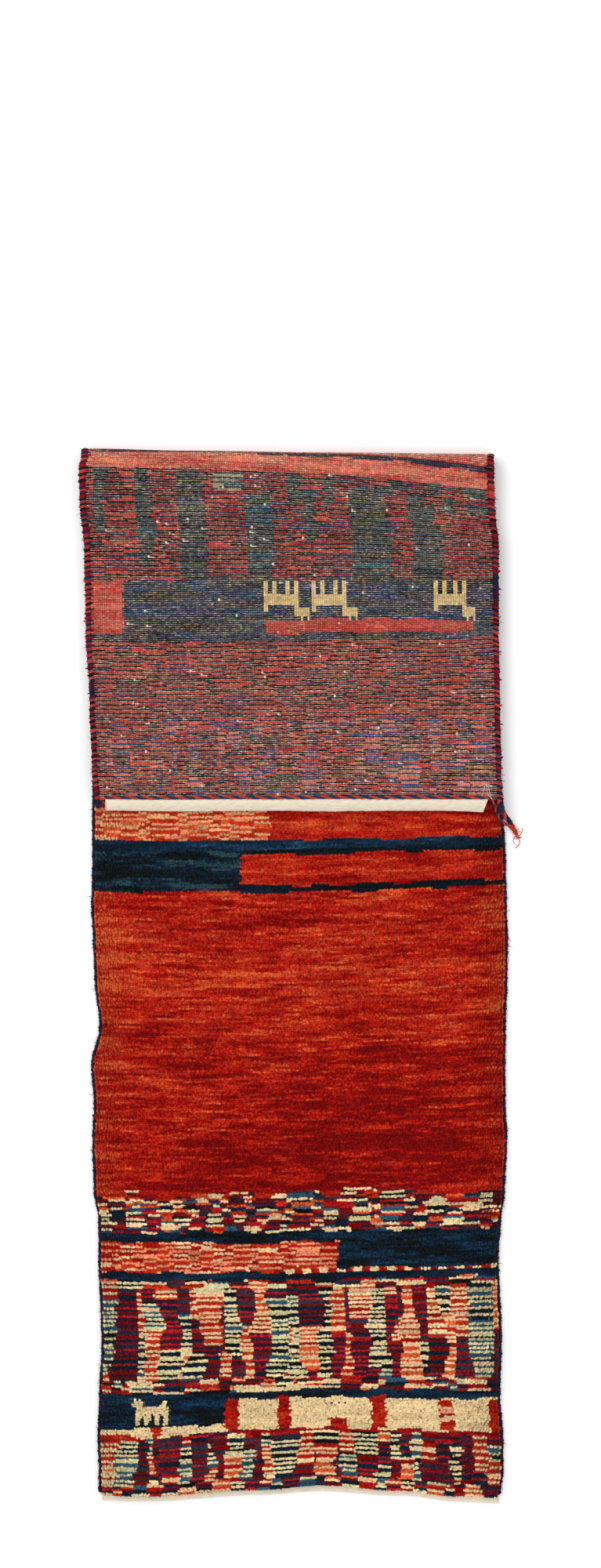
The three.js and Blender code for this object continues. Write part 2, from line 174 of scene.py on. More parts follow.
@dataclass(frozen=True)
class FoldedCloth:
    """The rug's folded form in mm, with depths measured from its back towards its pile."""

    thick: float = 13.6
    gap: float = 0.9
    radius: float = 17.2
    loop_reach: float = 62.0
    pile_rise: float = 0.7
    flap_rise: float = 1.1
    swell_length: float = 310.0
    swell_along: float = 0.83
    swell_slant: float = 0.4
    swell_fade: float = 60.0
    hem_run: float = 17.5
    shelf: float = 6.8
    edge_half: float = 5.0
    edge_half_fold: float = 6.5
    spread_reach: float = 300.0
    seat: float = 0.1
    proud: float = 0.9
    touch: float = 0.3
    weave_half: float = 313.0
    pin_rows: float = 60.0
    fade_rows: float = 12.0
    # how rows wander: size in mm, length in rows, slant, start
    wanders: tuple[tuple[float, float, float, float], ...] = (
        (0.5, 37, 0.9, 0.0),
        (0.4, 23, -1.7, 0.3),
    )

    @property
    def quarter(self) -> float:
        """Length of the back from the fold's crest to where the cloth is flat again."""
        return self.radius * math.pi / 2

    def fold_centre(self, x: Places) -> Array:
        """Place along of the fold's axis."""
        return look_up(FOLD_CREST, x, 1) - self.radius

    def swell(self, x: Places, y: Places) -> Array:
        """Slow swell of a surface, from 0 to 1."""
        across = np.sin(2 * np.pi * (x + self.swell_slant * y) / self.swell_length)
        length = self.swell_along * self.swell_length
        return (2 + across + np.sin(2 * np.pi * (y - self.swell_slant * x) / length)) / 4

    def flap_back(self, x: Places, y: Places) -> Array:
        """Height of the flap's back above the floor."""
        flat = 2 * self.thick + self.gap
        loop = 1 - eased((self.fold_centre(x) - y) / self.loop_reach)
        rise = (2 * self.radius - flat) * loop
        return flat + rise + self.flap_rise * self.swell(x, y) * (1 - loop)

    def pile_swell(self, x: Places, y: Places) -> Array:
        """Height of the open pile above its plain thickness."""
        free = np.clip((FLAP_END - self.hem_run - y) / self.swell_fade, 0, 1)
        return self.pile_rise * (2 * self.swell(x, y) - 1) * eased(free)

    def place_along(self, run: Places, x: Places) -> Array:
        """Place along of a point of the back, or of its fold centre inside the fold."""
        run = np.asarray(run, float)
        below = np.minimum(run + self.quarter, 0)
        return self.fold_centre(x) + below - np.maximum(run - self.quarter, 0)

    def entering(self, run: Places) -> Array:
        """Share of the way through the fold, from 0 on the open part to 1 on the flap."""
        return np.clip(np.asarray(run) / (2 * self.quarter) + 0.5, 0, 1)

    def side(self, hand: int, run: Places) -> Array:
        """Finds the cloth's outer side.

        Args:
            hand: -1 for the left side, 1 for the right one.
            run: Distance along the back from the fold's crest.

        Returns:
            Place across of the side, selvedge included.
        """
        y = self.place_along(run, hand * EDGE_X)
        column = 1 if hand < 0 else 2
        lower, flap = look_up(LOWER_SIDES, y, column), look_up(FLAP_SIDES, y, column)
        return mixed(lower, flap, self.entering(run))

    def edge_width(self, run: Places) -> Array:
        """Half the selvedge's width at a run, wider near the fold on the flap."""
        run = np.asarray(run, float)
        spread = 1 - eased((run - self.quarter) / self.spread_reach)
        return mixed(self.edge_half, self.edge_half_fold, spread * self.entering(run))

    def edge_proud(self, run: Places) -> Array:
        """How far the selvedge stands out at the back."""
        return mixed(-self.seat, self.proud, self.entering(run))

    def spot(self, run: Places, x: Places, depth: Places) -> Array:
        """Finds a point of the folded cloth.

        Args:
            run: Distance along the back from the fold's crest, positive on the flap.
            x: Place across.
            depth: Depth from the back towards the pile.

        Returns:
            Points in mm, with one more dimension of size 3.
        """
        run, x, depth = np.broadcast_arrays(
            np.asarray(run, float), np.asarray(x, float), np.asarray(depth, float)
        )
        angle = np.clip(run / self.radius, -np.pi / 2, np.pi / 2)
        base = self.place_along(run, x)
        bend = np.where(np.abs(run) < self.quarter, np.cos(angle), 0)
        y = base + (self.radius - depth) * bend
        low = depth + self.pile_swell(x, y) * (depth > self.shelf)
        turn = self.radius + (self.radius - depth) * np.sin(angle)
        high = self.flap_back(x, y) - depth
        z = np.where(run <= -self.quarter, low, np.where(run >= self.quarter, high, turn))
        return np.stack([x, y, z], -1)

    def run_of(self, row: Places, across: Places) -> Array:
        """Finds how far along the back a row lies.

        Args:
            row: Row number, counted from the lower end.
            across: Place in the row, from -1 at the left to 1 at the right.

        Returns:
            Distance along the back from the fold's crest.
        """
        lines = np.array(WEAVE_LINES)
        row, across = np.broadcast_arrays(np.asarray(row, float), np.asarray(across, float))
        over = (row - np.clip(row, 0, ROWS)) * ROW_PITCH

        def bowed(at: Places) -> Array:
            """Parabola through the left, middle and right places of a row."""
            left, middle, right = (np.interp(at, lines[:, 0], lines[:, k]) for k in (1, 2, 3))
            tilt = across * (right - left) / 2
            return middle + tilt + across**2 * ((right + left) / 2 - middle)

        x = across * self.weave_half
        end = look_up(LOWER_END, x, 1) - self.fold_centre(x) - self.quarter
        pinned = (end - bowed(0)) * np.clip(1 - row / self.pin_rows, 0, 1)
        fade = np.clip(row / self.fade_rows, 0, 1) * np.clip((ROWS - row) / self.fade_rows, 0, 1)
        wander = sum(
            size * np.sin(2 * np.pi * (row / length + slant * across + start))
            for size, length, slant, start in self.wanders
        )
        return bowed(row) + pinned + wander * fade + over

    def point(self, row: Places, knot: Places, depth: Places) -> Array:
        """Finds a point of the folded cloth by its place in the weave.

        Args:
            row: Row number, counted from the lower end.
            knot: Place across in knots, counted from the left selvedge.
            depth: Depth in mm from the back towards the pile.

        Returns:
            Points in mm, with one more dimension of size 3.
        """
        row = np.asarray(row, float)
        runs = [self.run_of(row, hand) for hand in (-1, 1)]
        left = self.side(-1, runs[0]) + 2 * self.edge_width(runs[0]) + self.touch
        right = self.side(1, runs[1]) - 2 * self.edge_width(runs[1]) - self.touch
        share = np.asarray(knot, float) / KNOTS
        return self.spot(self.run_of(row, 2 * share - 1), mixed(left, right, share), depth)


CLOTH = FoldedCloth()


class Dye(Enum):
    """The rug's wools, as shades that a dyer would match."""

    DEEP_RED = (122, 4, 3)
    FIELD_RED = (168, 18, 8)
    FLAME = (190, 46, 22)
    ORANGE = (212, 86, 44)
    CRIMSON = (172, 26, 30)
    ROSE = (222, 110, 82)
    SALMON = (226, 138, 98)
    TAN = (216, 156, 108)
    PEACH = (230, 186, 142)
    CREAM = (228, 200, 150)
    GREEN_CREAM = (212, 200, 150)
    SAND = (200, 172, 118)
    HONEY = (226, 192, 138)
    MAROON = (126, 14, 28)
    PLUM = (66, 24, 42)
    SLATE = (48, 44, 58)
    BLACK = (12, 18, 20)
    NAVY = (14, 32, 48)
    BLUE = (20, 50, 74)
    STEEL = (48, 84, 104)
    TEAL = (40, 66, 74)
    BACK_RED = (168, 54, 47)
    BACK_SALMON = (194, 98, 80)
    BACK_BRICK = (134, 42, 46)
    BACK_BLACK = (16, 20, 26)
    BACK_NAVY = (26, 38, 62)
    BACK_BLUE = (48, 60, 98)
    BACK_PLUM = (98, 44, 68)
    BACK_GREEN = (42, 58, 64)
    FADED = (150, 136, 110)
    UNDYED = (214, 192, 162)
    HEM = (230, 218, 196)
    WHITE = (236, 232, 222)

    @property
    def linear(self) -> Array:
        """The shade as scene-linear numbers."""
        shade = np.array(self.value) / 255
        return np.where(shade <= 0.04045, shade / 12.92, ((shade + 0.055) / 1.055) ** 2.4)


class Fill(Enum):
    """Ways to fill a band of the weave."""

    FIELD = "one family of wools, streaked from lot to lot"
    PATCHES = "upright patches of rows in two wools by turns"
    DASHES = "short dashes, one row high"
    CHECKER = "even dashes in two wools by turns"


@dataclass(frozen=True)
class Turns:
    """Two wools, or families of them, that take turns from row to row."""

    light: tuple[Dye, ...]
    dark: tuple[Dye, ...]


SALMON_ROWS = Turns((Dye.PEACH, Dye.CREAM, Dye.PEACH), (Dye.FLAME, Dye.FIELD_RED, Dye.ORANGE))
GREEN_ROWS = Turns((Dye.GREEN_CREAM, Dye.CREAM), (Dye.BLACK, Dye.NAVY, Dye.STEEL))
MAROON_ROWS = Turns((Dye.CRIMSON, Dye.DEEP_RED, Dye.MAROON), (Dye.PLUM, Dye.NAVY, Dye.SLATE))
BRICK_ROWS = Turns((Dye.PEACH, Dye.SALMON, Dye.SALMON), (Dye.FLAME, Dye.FIELD_RED, Dye.FLAME))
TAN_ROWS = Turns((Dye.SALMON, Dye.TAN, Dye.TAN), (Dye.FLAME, Dye.ORANGE, Dye.FLAME))
BACK_ROWS = Turns((Dye.BACK_RED, Dye.BACK_BRICK, Dye.BACK_RED), (Dye.BACK_BLACK, Dye.BACK_NAVY))
BACK_BLUES = Turns((Dye.BACK_RED, Dye.BACK_PLUM, Dye.BACK_SALMON), (Dye.BACK_BLUE, Dye.BACK_BLACK))
BACK_DUSKS = Turns((Dye.BACK_BRICK, Dye.MAROON, Dye.BACK_RED), (Dye.BACK_BLACK, Dye.BACK_NAVY))
BACK_GREENS = Turns((Dye.BACK_GREEN, Dye.TEAL, Dye.BACK_GREEN), (Dye.BACK_BLACK, Dye.NAVY))
BACK_DEEPS = Turns((Dye.BACK_NAVY, Dye.BACK_BLUE, Dye.BACK_GREEN), (Dye.BACK_BLACK, Dye.NAVY))
FRONT_TURNS = (SALMON_ROWS, GREEN_ROWS, MAROON_ROWS, SALMON_ROWS, MAROON_ROWS)
LOWER_TURNS = (SALMON_ROWS, GREEN_ROWS, MAROON_ROWS, MAROON_ROWS)
REDS = (Dye.DEEP_RED, Dye.FIELD_RED, Dye.FLAME, Dye.ORANGE)
NAVIES = (Dye.BLACK, Dye.NAVY, Dye.BLUE)
TEALS = (Dye.BLACK, Dye.NAVY, Dye.TEAL)
CREAMS = (Dye.HONEY, Dye.CREAM, Dye.CREAM)
BACK_REDS = (Dye.BACK_RED, Dye.BACK_RED, Dye.BACK_SALMON, Dye.ROSE)
BACK_NAVIES = (Dye.BACK_BLACK, Dye.BACK_NAVY, Dye.BLUE)


@dataclass(frozen=True)
class Band:
    """One area of the pattern: its rows and knots, and how it is filled."""

    rows: tuple[int, int]
    knots: tuple[float, float]
    fill: Fill
    dyes: tuple[Dye, ...] = ()
    turns: tuple[Turns, ...] = ()
    wide: tuple[int, int] = (3, 6)
    tall: tuple[int, int] = (1, 1)
    level: float = 0.5
    contrast: float = 0.3
    doubled: tuple[float, float] = (0.2, 0.46)  # chance of two light, or two dark, rows running
    drift: int = 3
    jut: int = 0
    ragged: int = 0


ALL = (0, KNOTS)
PAIRED = (0.1, 0.04)
BANDS = (
    Band((0, ROWS), ALL, Fill.FIELD, REDS),
    Band((0, 27), ALL, Fill.PATCHES, turns=LOWER_TURNS, wide=(2, 4), tall=(8, 22)),
    Band((0, 5), ALL, Fill.PATCHES, turns=LOWER_TURNS, wide=(2, 4), tall=(2, 4)),
    Band((46, 99), ALL, Fill.PATCHES, turns=FRONT_TURNS, wide=(2, 4), tall=(12, 34)),
    Band((46, 52), ALL, Fill.PATCHES, turns=FRONT_TURNS, wide=(2, 5), tall=(1, 3)),
    Band((95, 99), ALL, Fill.PATCHES, turns=FRONT_TURNS, wide=(3, 7), tall=(2, 4)),
    Band((121, 139), ALL, Fill.PATCHES, turns=LOWER_TURNS, wide=(2, 4), tall=(1, 2), jut=2,
         ragged=1),
    Band((102, 117), (0, 55.5), Fill.PATCHES, turns=(BRICK_ROWS,), wide=(2, 3), tall=(15, 15)),
    Band((26, 28), (30, 92), Fill.DASHES, (Dye.MAROON, Dye.FIELD_RED), wide=(4, 9)),
    Band((27, 31), (0, 29), Fill.FIELD, CREAMS),
    Band((25, 27), (0, 8), Fill.FIELD, REDS),
    Band((27, 31), (11.5, 13.5), Fill.FIELD, REDS),
    Band((46, 48), (31, 50), Fill.FIELD, CREAMS),
    Band((31, 46), (0, 29.5), Fill.FIELD, NAVIES, level=0.5, contrast=0.8),
    Band((42, 46), (29, 92), Fill.FIELD, NAVIES, level=0.55, contrast=0.8),
    Band((28, 42), (29, 92), Fill.FIELD, CREAMS, contrast=0.5),
    Band((28, 42), (28.7, 31.4), Fill.FIELD, REDS, level=0.4),
    Band((28, 43), (40.8, 43.6), Fill.FIELD, REDS, level=0.25),
    Band((34, 36), (41.2, 43), Fill.FIELD, REDS, level=0.7),
    Band((28, 43), (62.8, 66), Fill.FIELD, REDS, level=0.4),
    Band((28, 42), (79, 82), Fill.FIELD, REDS, level=0.4),
    Band((33, 34), (79, 82), Fill.FIELD, (Dye.PEACH,)),
    Band((36, 38), (79, 82), Fill.FIELD, (Dye.ROSE, Dye.PEACH)),
    Band((28, 42), (90, 92), Fill.FIELD, REDS, level=0.4),
    Band((28, 31), (53, 56.5), Fill.FIELD, REDS, level=0.4),
    Band((99, 102), ALL, Fill.FIELD, NAVIES, contrast=0.4),
    Band((102, 104), (43, 92), Fill.CHECKER, (Dye.CREAM, Dye.FIELD_RED), wide=(2, 2)),
    Band((104, 121), (55.5, 92), Fill.FIELD, NAVIES, level=0.45, contrast=0.9),
    Band((117, 121), ALL, Fill.FIELD, NAVIES, level=0.4, contrast=0.8),
    Band((280, 299), (0, 33), Fill.FIELD, TEALS, level=0.38, contrast=0.85),
    Band((280, 283), (32.5, 92), Fill.FIELD, NAVIES, level=0.15),
    Band((283, 296), (33, 92), Fill.FIELD, REDS, level=0.48, contrast=0.4),
    Band((296, 298), (32.5, 92), Fill.FIELD, NAVIES, level=0.05, contrast=0.2),
    Band((298, 303), ALL, Fill.FIELD, (Dye.NAVY, Dye.BLUE, Dye.STEEL), level=0.08, contrast=0.7),
    Band((303, 340), (39, 92), Fill.FIELD, REDS, level=0.46, contrast=0.4),
    Band((303, 340), (0, 39), Fill.PATCHES, turns=(TAN_ROWS,), wide=(2, 3), tall=(40, 40)),
    Band((462, 490), ALL, Fill.FIELD, BACK_REDS, level=0.45),
    Band((489, 492), ALL, Fill.DASHES, (Dye.SLATE, Dye.BACK_NAVY, Dye.PLUM), wide=(2, 9)),
    Band((492, 500), ALL, Fill.FIELD, BACK_REDS, level=0.58, contrast=0.4),
    Band((500, 548), ALL, Fill.PATCHES, turns=(BACK_DUSKS, BACK_DUSKS), wide=(2, 5), tall=(3, 9),
         doubled=PAIRED, ragged=1),
    Band((500, 514), (46, 92), Fill.PATCHES, turns=(BACK_GREENS, BACK_DUSKS, BACK_DUSKS),
         wide=(2, 5), tall=(2, 5), doubled=PAIRED, ragged=1),
    Band((501, 509), (29, 36), Fill.PATCHES, turns=(Turns((Dye.FADED,), (Dye.BACK_GREEN,)),),
         wide=(2, 3), tall=(3, 7), doubled=PAIRED, ragged=2),
    *(
        Band(rows, knots, Fill.PATCHES, turns=(BACK_GREENS, BACK_DEEPS), wide=(9, 9),
             tall=(5, 12), doubled=PAIRED, ragged=1)
        for rows, knots in (
            ((500, 527), (1.5, 5)),
            ((500, 542), (11, 14.5)),
            ((500, 546), (20.5, 25)),
            ((510, 548), (36, 43)),
            ((508, 531), (49.5, 53)),
            ((505, 548), (60, 67.5)),
            ((511, 548), (74, 79.5)),
        )
    ),
    Band((548, 573), (0, 9), Fill.FIELD, BACK_REDS, level=0.4),
    Band((548, 576), (7.7, 92), Fill.FIELD, BACK_NAVIES, level=0.5, contrast=0.5),
    Band((573, 576), ALL, Fill.FIELD, BACK_NAVIES, level=0.4, contrast=0.4),
    Band((566, 572), (40, 87.5), Fill.FIELD, BACK_REDS, level=0.2),
    Band((576, 618), ALL, Fill.PATCHES, turns=(BACK_ROWS, BACK_ROWS), wide=(2, 4), tall=(3, 12),
         doubled=PAIRED, ragged=1),
    Band((612, 649), ALL, Fill.PATCHES, turns=(BACK_ROWS, BACK_BLUES), wide=(1, 3), tall=(2, 7),
         doubled=PAIRED, ragged=1),
)

# A goat on the open pile, charted node by node, top row first
STANDING_GOAT = (
    ".#.#.............",
    ".####.........##.",
    "#####.........##.",
    "#####........###.",
    "..###############",
    "..###############",
    "..###############",
    "..####.##.###.###",
    "..###.###..##..##",
    "..##..###..##..##",
    "..##..##...##..##",
    "..##..##...##..##",
)
# A goat on the flap, which hangs head down there, top row first
HANGING_GOAT = (
    *["##..##....##..##....."] * 6,
    *["################....."] * 5,
    "##............##.....",
    *["##............#######"] * 2,
    *["..............#######"] * 2,
    *[".................#..#"] * 2,
)


NARROW_GOAT = tuple(line[:8] + line[9:16] + line[17:] for line in HANGING_GOAT)

# Motif, row and left node that its top row falls on, way of the rows down it, wool
GOATS = (
    (STANDING_GOAT, 43, 13, -1, Dye.CREAM),
    (HANGING_GOAT, 548, 79, 1, Dye.SAND),
    (HANGING_GOAT, 548, 101, 1, Dye.SAND),
    (NARROW_GOAT, 548, 157, 1, Dye.SAND),
)
DARK_MARKS = (39, slice(104, 114, 3))

# Strength, length in nodes and rounds of blending of each kind of streak
Streaks = tuple[tuple[float, float, int], ...]


@dataclass(frozen=True)
class AbrashAndPaintedHighlights:
    """How the open red field's wool shades from lot to lot, with painted highlights along both sides:
    places run from 0 to 1 along and from -1 to 1 across.
    """

    rows: tuple[int, int] = (139, 281)
    level: float = 0.37
    bright_from: float = 0.6
    bright: float = 0.07
    # strength, middle and width along, middle and width across; the last two are painted highlights
    # along the field's left and right sides
    mounds: tuple[tuple[float, float, float, float, float], ...] = (
        (0.12, 0.68, 0.12, 0.0, math.inf),
        (-0.34, 0.14, 0.2, 0.28, 0.72),
        (0.26, 0.0, math.inf, -1.0, 0.1),
        (0.12, 0.0, math.inf, 1.0, 0.07),
    )
    streaks: Streaks = ((0.07, 34, 8), (0.10, 20, 1), (0.15, 10, 0), (0.10, 4, 0))
    fleck: float = 0.11


@dataclass
class YarnChart:
    """Which wool each node of the weave is knotted in, row by row from the lower end."""

    seed: int = 41
    abrash_and_painted_highlights: AbrashAndPaintedHighlights = AbrashAndPaintedHighlights()
    lot_change: float = 0.07
    lot_length: float = 14.0
    node_change: float = 0.06
    back_grain: float = 2.4
    from_row: float = 0.44
    from_beside: float = 0.28
    field_streaks: Streaks = ((0.2, 20, 1), (0.13, 6, 0))
    field_fleck: float = 0.08
    border_length: float = 9.0
    border_level: float = 0.3
    side_chance: float = 0.4
    dash_lead: int = 6
    dash_turn: float = 0.85
    dash_tone: float = 0.08
    family: int = 3
    family_share: float = 0.55
    patch_tone: float = 0.1
    drift_chance: float = 0.3
    drift_lean: float = 0.03
    rng: np.random.Generator = field(init=False, repr=False)
    colour: Array = field(init=False, repr=False)

    def __post_init__(self) -> None:
        """Fills the chart from the bands, the goats and the small marks."""
        self.rng = np.random.default_rng(self.seed)
        self.colour = np.zeros((ROWS, NODES, 3))
        paint = {
            Fill.FIELD: self.fill_field,
            Fill.PATCHES: self.fill_patches,
            Fill.DASHES: self.fill_dashes,
            Fill.CHECKER: self.fill_checker,
        }
        for number, band in enumerate(BANDS):
            paint[band.fill](band)
            if number == 0:
                self.fill_abrash_and_painted_highlights()
        for goat in GOATS:
            self.stamp(*goat)
        self.colour[DARK_MARKS] = Dye.BLACK.linear
        lots = self.lot_change * self.streaks(ROWS, NODES, self.lot_length)
        grain = self.rng.normal(0, self.node_change, (ROWS, NODES))
        grain[FIRST_BACK_ROW:] *= self.back_grain
        self.colour *= (1 + lots + grain).clip(0.5, 1.5)[..., None]

    def streaks(self, rows: int, nodes: int, long: float, rounds: int = 1) -> Array:
        """Makes noise that runs in streaks along the rows.

        Args:
            rows: How many rows.
            nodes: How many nodes across.
            long: Length of a streak in nodes.
            rounds: How often a row is blended with its neighbours.

        Returns:
            Numbers about 0, most of them between -2 and 2, one for each node.
        """
        lattice = self.rng.normal(0, 1, (rows, int(nodes / long) + 4))
        at = np.arange(nodes)[None] / long + self.rng.random((rows, 1)) * 2
        low = at.astype(int)
        share = eased(at - low)
        row = np.arange(rows)[:, None]
        noise = mixed(lattice[row, low], lattice[row, low + 1], share)
        for _ in range(rounds):
            padded = np.pad(noise, ((1, 1), (0, 0)), mode="edge")
            beside = self.from_beside * padded[:-2], self.from_beside * padded[2:]
            noise = beside[0] + self.from_row * padded[1:-1] + beside[1]
        return (noise - noise.mean()) / noise.std()

    def layered(self, size: tuple[int, int], streaks: Streaks, fleck: float) -> Array:
        """Adds up streaks of several lengths and a fleck for each node.

        Args:
            size: How many rows, and how many nodes across.
            streaks: The kinds of streak.
            fleck: Strength of the flecks.

        Returns:
            Numbers about 0, one for each node.
        """
        noise = sum(much * self.streaks(*size, long, rounds) for much, long, rounds in streaks)
        return noise + fleck * self.rng.normal(0, 1, size)

    def shade(self, dyes: Sequence[Dye], level: Array) -> Array:
        """Blends along a family of wools.

        Args:
            dyes: The family, from its darkest wool on.
            level: Place in the family, from 0 to 1.

        Returns:
            The blended colours.
        """
        shades = np.array([dye.linear for dye in dyes])
        at = np.clip(level, 0, 1) * (len(shades) - 1)
        low = np.minimum(at.astype(int), max(len(shades) - 2, 0))
        high = np.minimum(low + 1, len(shades) - 1)
        return mixed(shades[low], shades[high], (at - low)[..., None])

    def area(self, band: Band) -> tuple[slice, slice]:
        """The band's rows and nodes as slices of the chart."""
        return slice(*band.rows), slice(*(round(2 * knot) for knot in band.knots))

    def fill_field(self, band: Band) -> None:
        """Fills a band with streaks of one family of wools, its borders a little uneven."""
        rows, nodes = self.area(band)
        top, bottom = min(rows.stop + 1, ROWS), max(rows.start - 1, 0)
        right, left = min(nodes.stop + 1, NODES), max(nodes.start - 1, 0)
        size = (top - bottom, right - left)
        noise = self.layered(size, self.field_streaks, self.field_fleck)
        colour = self.shade(band.dyes, band.level + 2 * band.contrast * noise)
        row = np.arange(bottom, top)[:, None]
        node = np.arange(left, right)[None]
        spread = self.streaks(2, size[1], self.border_length, 0) > self.border_level
        sides = self.rng.random((2, size[0], 1)) < self.side_chance
        inside = (row >= rows.start - spread[0]) & (row < rows.stop + spread[1])
        inside &= (node >= nodes.start - sides[0]) & (node < nodes.stop + sides[1])
        self.colour[bottom:top, left:right][inside] = colour[inside]

    def fill_abrash_and_painted_highlights(self) -> None:
        """Fills the open red field, brightest above its middle, with painted highlights along both
        sides, strongest at the left.
        """
        look = self.abrash_and_painted_highlights
        rows = slice(*look.rows)
        count = rows.stop - rows.start
        along = np.linspace(0, 1, count)[:, None]
        across = np.linspace(-1, 1, NODES)[None]
        level = look.level + look.bright * (along > look.bright_from)
        # the mounds at both sides are painted highlights; the others shade the wool from lot to lot
        for much, y, tall, x, wide in look.mounds:
            level = level + much * np.exp(-(((along - y) / tall) ** 2 + ((across - x) / wide) ** 2))
        level = level + self.layered((count, NODES), look.streaks, look.fleck)
        self.colour[rows] = self.shade(REDS, level)

    def fill_dashes(self, band: Band) -> None:
        """Fills a band with dashes of its wools, cut anew in each row."""
        rows, nodes = self.area(band)
        for row in range(rows.start, rows.stop):
            at, turn = nodes.start - self.rng.integers(0, self.dash_lead), row
            while at < nodes.stop:
                long = int(self.rng.integers(band.wide[0], band.wide[1] + 1))
                turn += 1 if self.rng.random() < self.dash_turn else 2
                dye = band.dyes[turn % len(band.dyes)].linear
                tone = 1 + self.rng.normal(0, self.dash_tone)
                self.colour[row, max(at, nodes.start) : min(at + long, nodes.stop)] = dye * tone
                at += long

    def fill_checker(self, band: Band) -> None:
        """Fills a band with even dashes in two wools by turns."""
        rows, nodes = self.area(band)
        turn = (np.arange(nodes.stop - nodes.start) // (2 * band.wide[0])) % 2
        shades = np.array([dye.linear for dye in band.dyes])
        self.colour[rows, nodes] = shades[turn][None]

    def fill_patches(self, band: Band) -> None:
        """Fills a band with columns of patches whose sides drift by a node or two."""
        rows, nodes = self.area(band)
        count = rows.stop - rows.start
        before = np.full(count + band.jut, -1)
        start, start_shift = nodes.start, np.zeros(count + band.jut, int)
        while start < nodes.stop:
            stop = start + int(self.rng.integers(2 * band.wide[0], 2 * band.wide[1] + 1))
            last = nodes.stop - stop < 2 * band.wide[0]
            stop = nodes.stop if last else stop
            stop_shift = self.drifting(len(before), 0 if stop == NODES else band.drift)
            if stop < NODES:
                stop_shift += self.rng.integers(-band.ragged, band.ragged + 1, len(before))
            end_of_all = count + int(self.rng.integers(-band.jut, band.jut + 1))
            row = -int(self.rng.integers(0, band.tall[0] + 1))
            while row < end_of_all:
                end = min(row + int(self.rng.integers(band.tall[0], band.tall[1] + 1)), end_of_all)
                kind = int(self.rng.integers(len(band.turns)))
                beside = before[min(max((row + end) // 2, 0), count - 1)]
                if band.turns[kind] == band.turns[beside]:
                    kind = (kind + 1) % len(band.turns)
                self.fill_patch(band, kind, (row, end), (start, stop), (start_shift, stop_shift))
                before[max(row, 0) : max(end, 0)] = kind
                row = end
            start, start_shift = stop, stop_shift

    def drifting(self, count: int, most: int) -> Array:
        """Lets a patch's side drift.

        Args:
            count: How many rows it runs through.
            most: How many nodes it may drift to either side.

        Returns:
            The side's shift in each row.
        """
        steps = self.rng.choice([-1, 1], count) * (self.rng.random(count) < self.drift_chance)
        lean = self.rng.normal(0, self.drift_lean) * np.arange(count)
        return np.round(np.cumsum(steps) + lean).clip(-most, most).astype(int)

    def fill_patch(
        self,
        band: Band,
        kind: int,
        rows: tuple[int, int],
        nodes: tuple[int, int],
        shifts: tuple[Array, Array],
    ) -> None:
        """Knots one patch in single and double rows of its two wools by turns.

        Args:
            band: The band that the patch is in.
            kind: Which of the band's turns it is knotted in.
            rows: Its first row and the one past its last, counted in the band.
            nodes: Its first node and the one past its last.
            shifts: How far its left and right side drift in each row.
        """
        families = (band.turns[kind].light, band.turns[kind].dark)
        lead, dark = self.rng.integers(0, self.family), int(self.rng.integers(2))
        row = max(rows[0], 0)
        while row < rows[1]:
            family = families[dark]
            led = self.rng.random() < self.family_share
            pick = lead if led else self.rng.integers(0, self.family)
            tone = 1 + self.rng.normal(0, self.patch_tone)
            dye = family[pick % len(family)].linear * tone
            for _ in range(1 + int(self.rng.random() < band.doubled[dark])):
                if row < rows[1]:
                    low, high = nodes[0] + shifts[0][row], nodes[1] + shifts[1][row]
                    self.colour[band.rows[0] + row, max(low, 0) : high] = dye
                row += 1
            dark = 1 - dark

    def stamp(self, motif: Sequence[str], row: int, node: int, step: int, dye: Dye) -> None:
        """Knots a charted motif into the weave.

        Args:
            motif: Its rows, top one first, with # for a knotted node.
            row: Row of the weave that the first of them falls on.
            node: Its left node.
            step: 1 if the rows of the weave rise down the motif, -1 if they rise up it.
            dye: Its wool.
        """
        for k, line in enumerate(motif):
            marked = [node + i for i, mark in enumerate(line) if mark == "#"]
            self.colour[row + k * step, marked] = dye.linear


def placed(name: str, data: bpy.types.ID) -> bpy.types.Object:
    """Makes an object and puts it into the scene."""
    made = bpy.data.objects.new(name, data)
    bpy.context.scene.collection.objects.link(made)
    return made


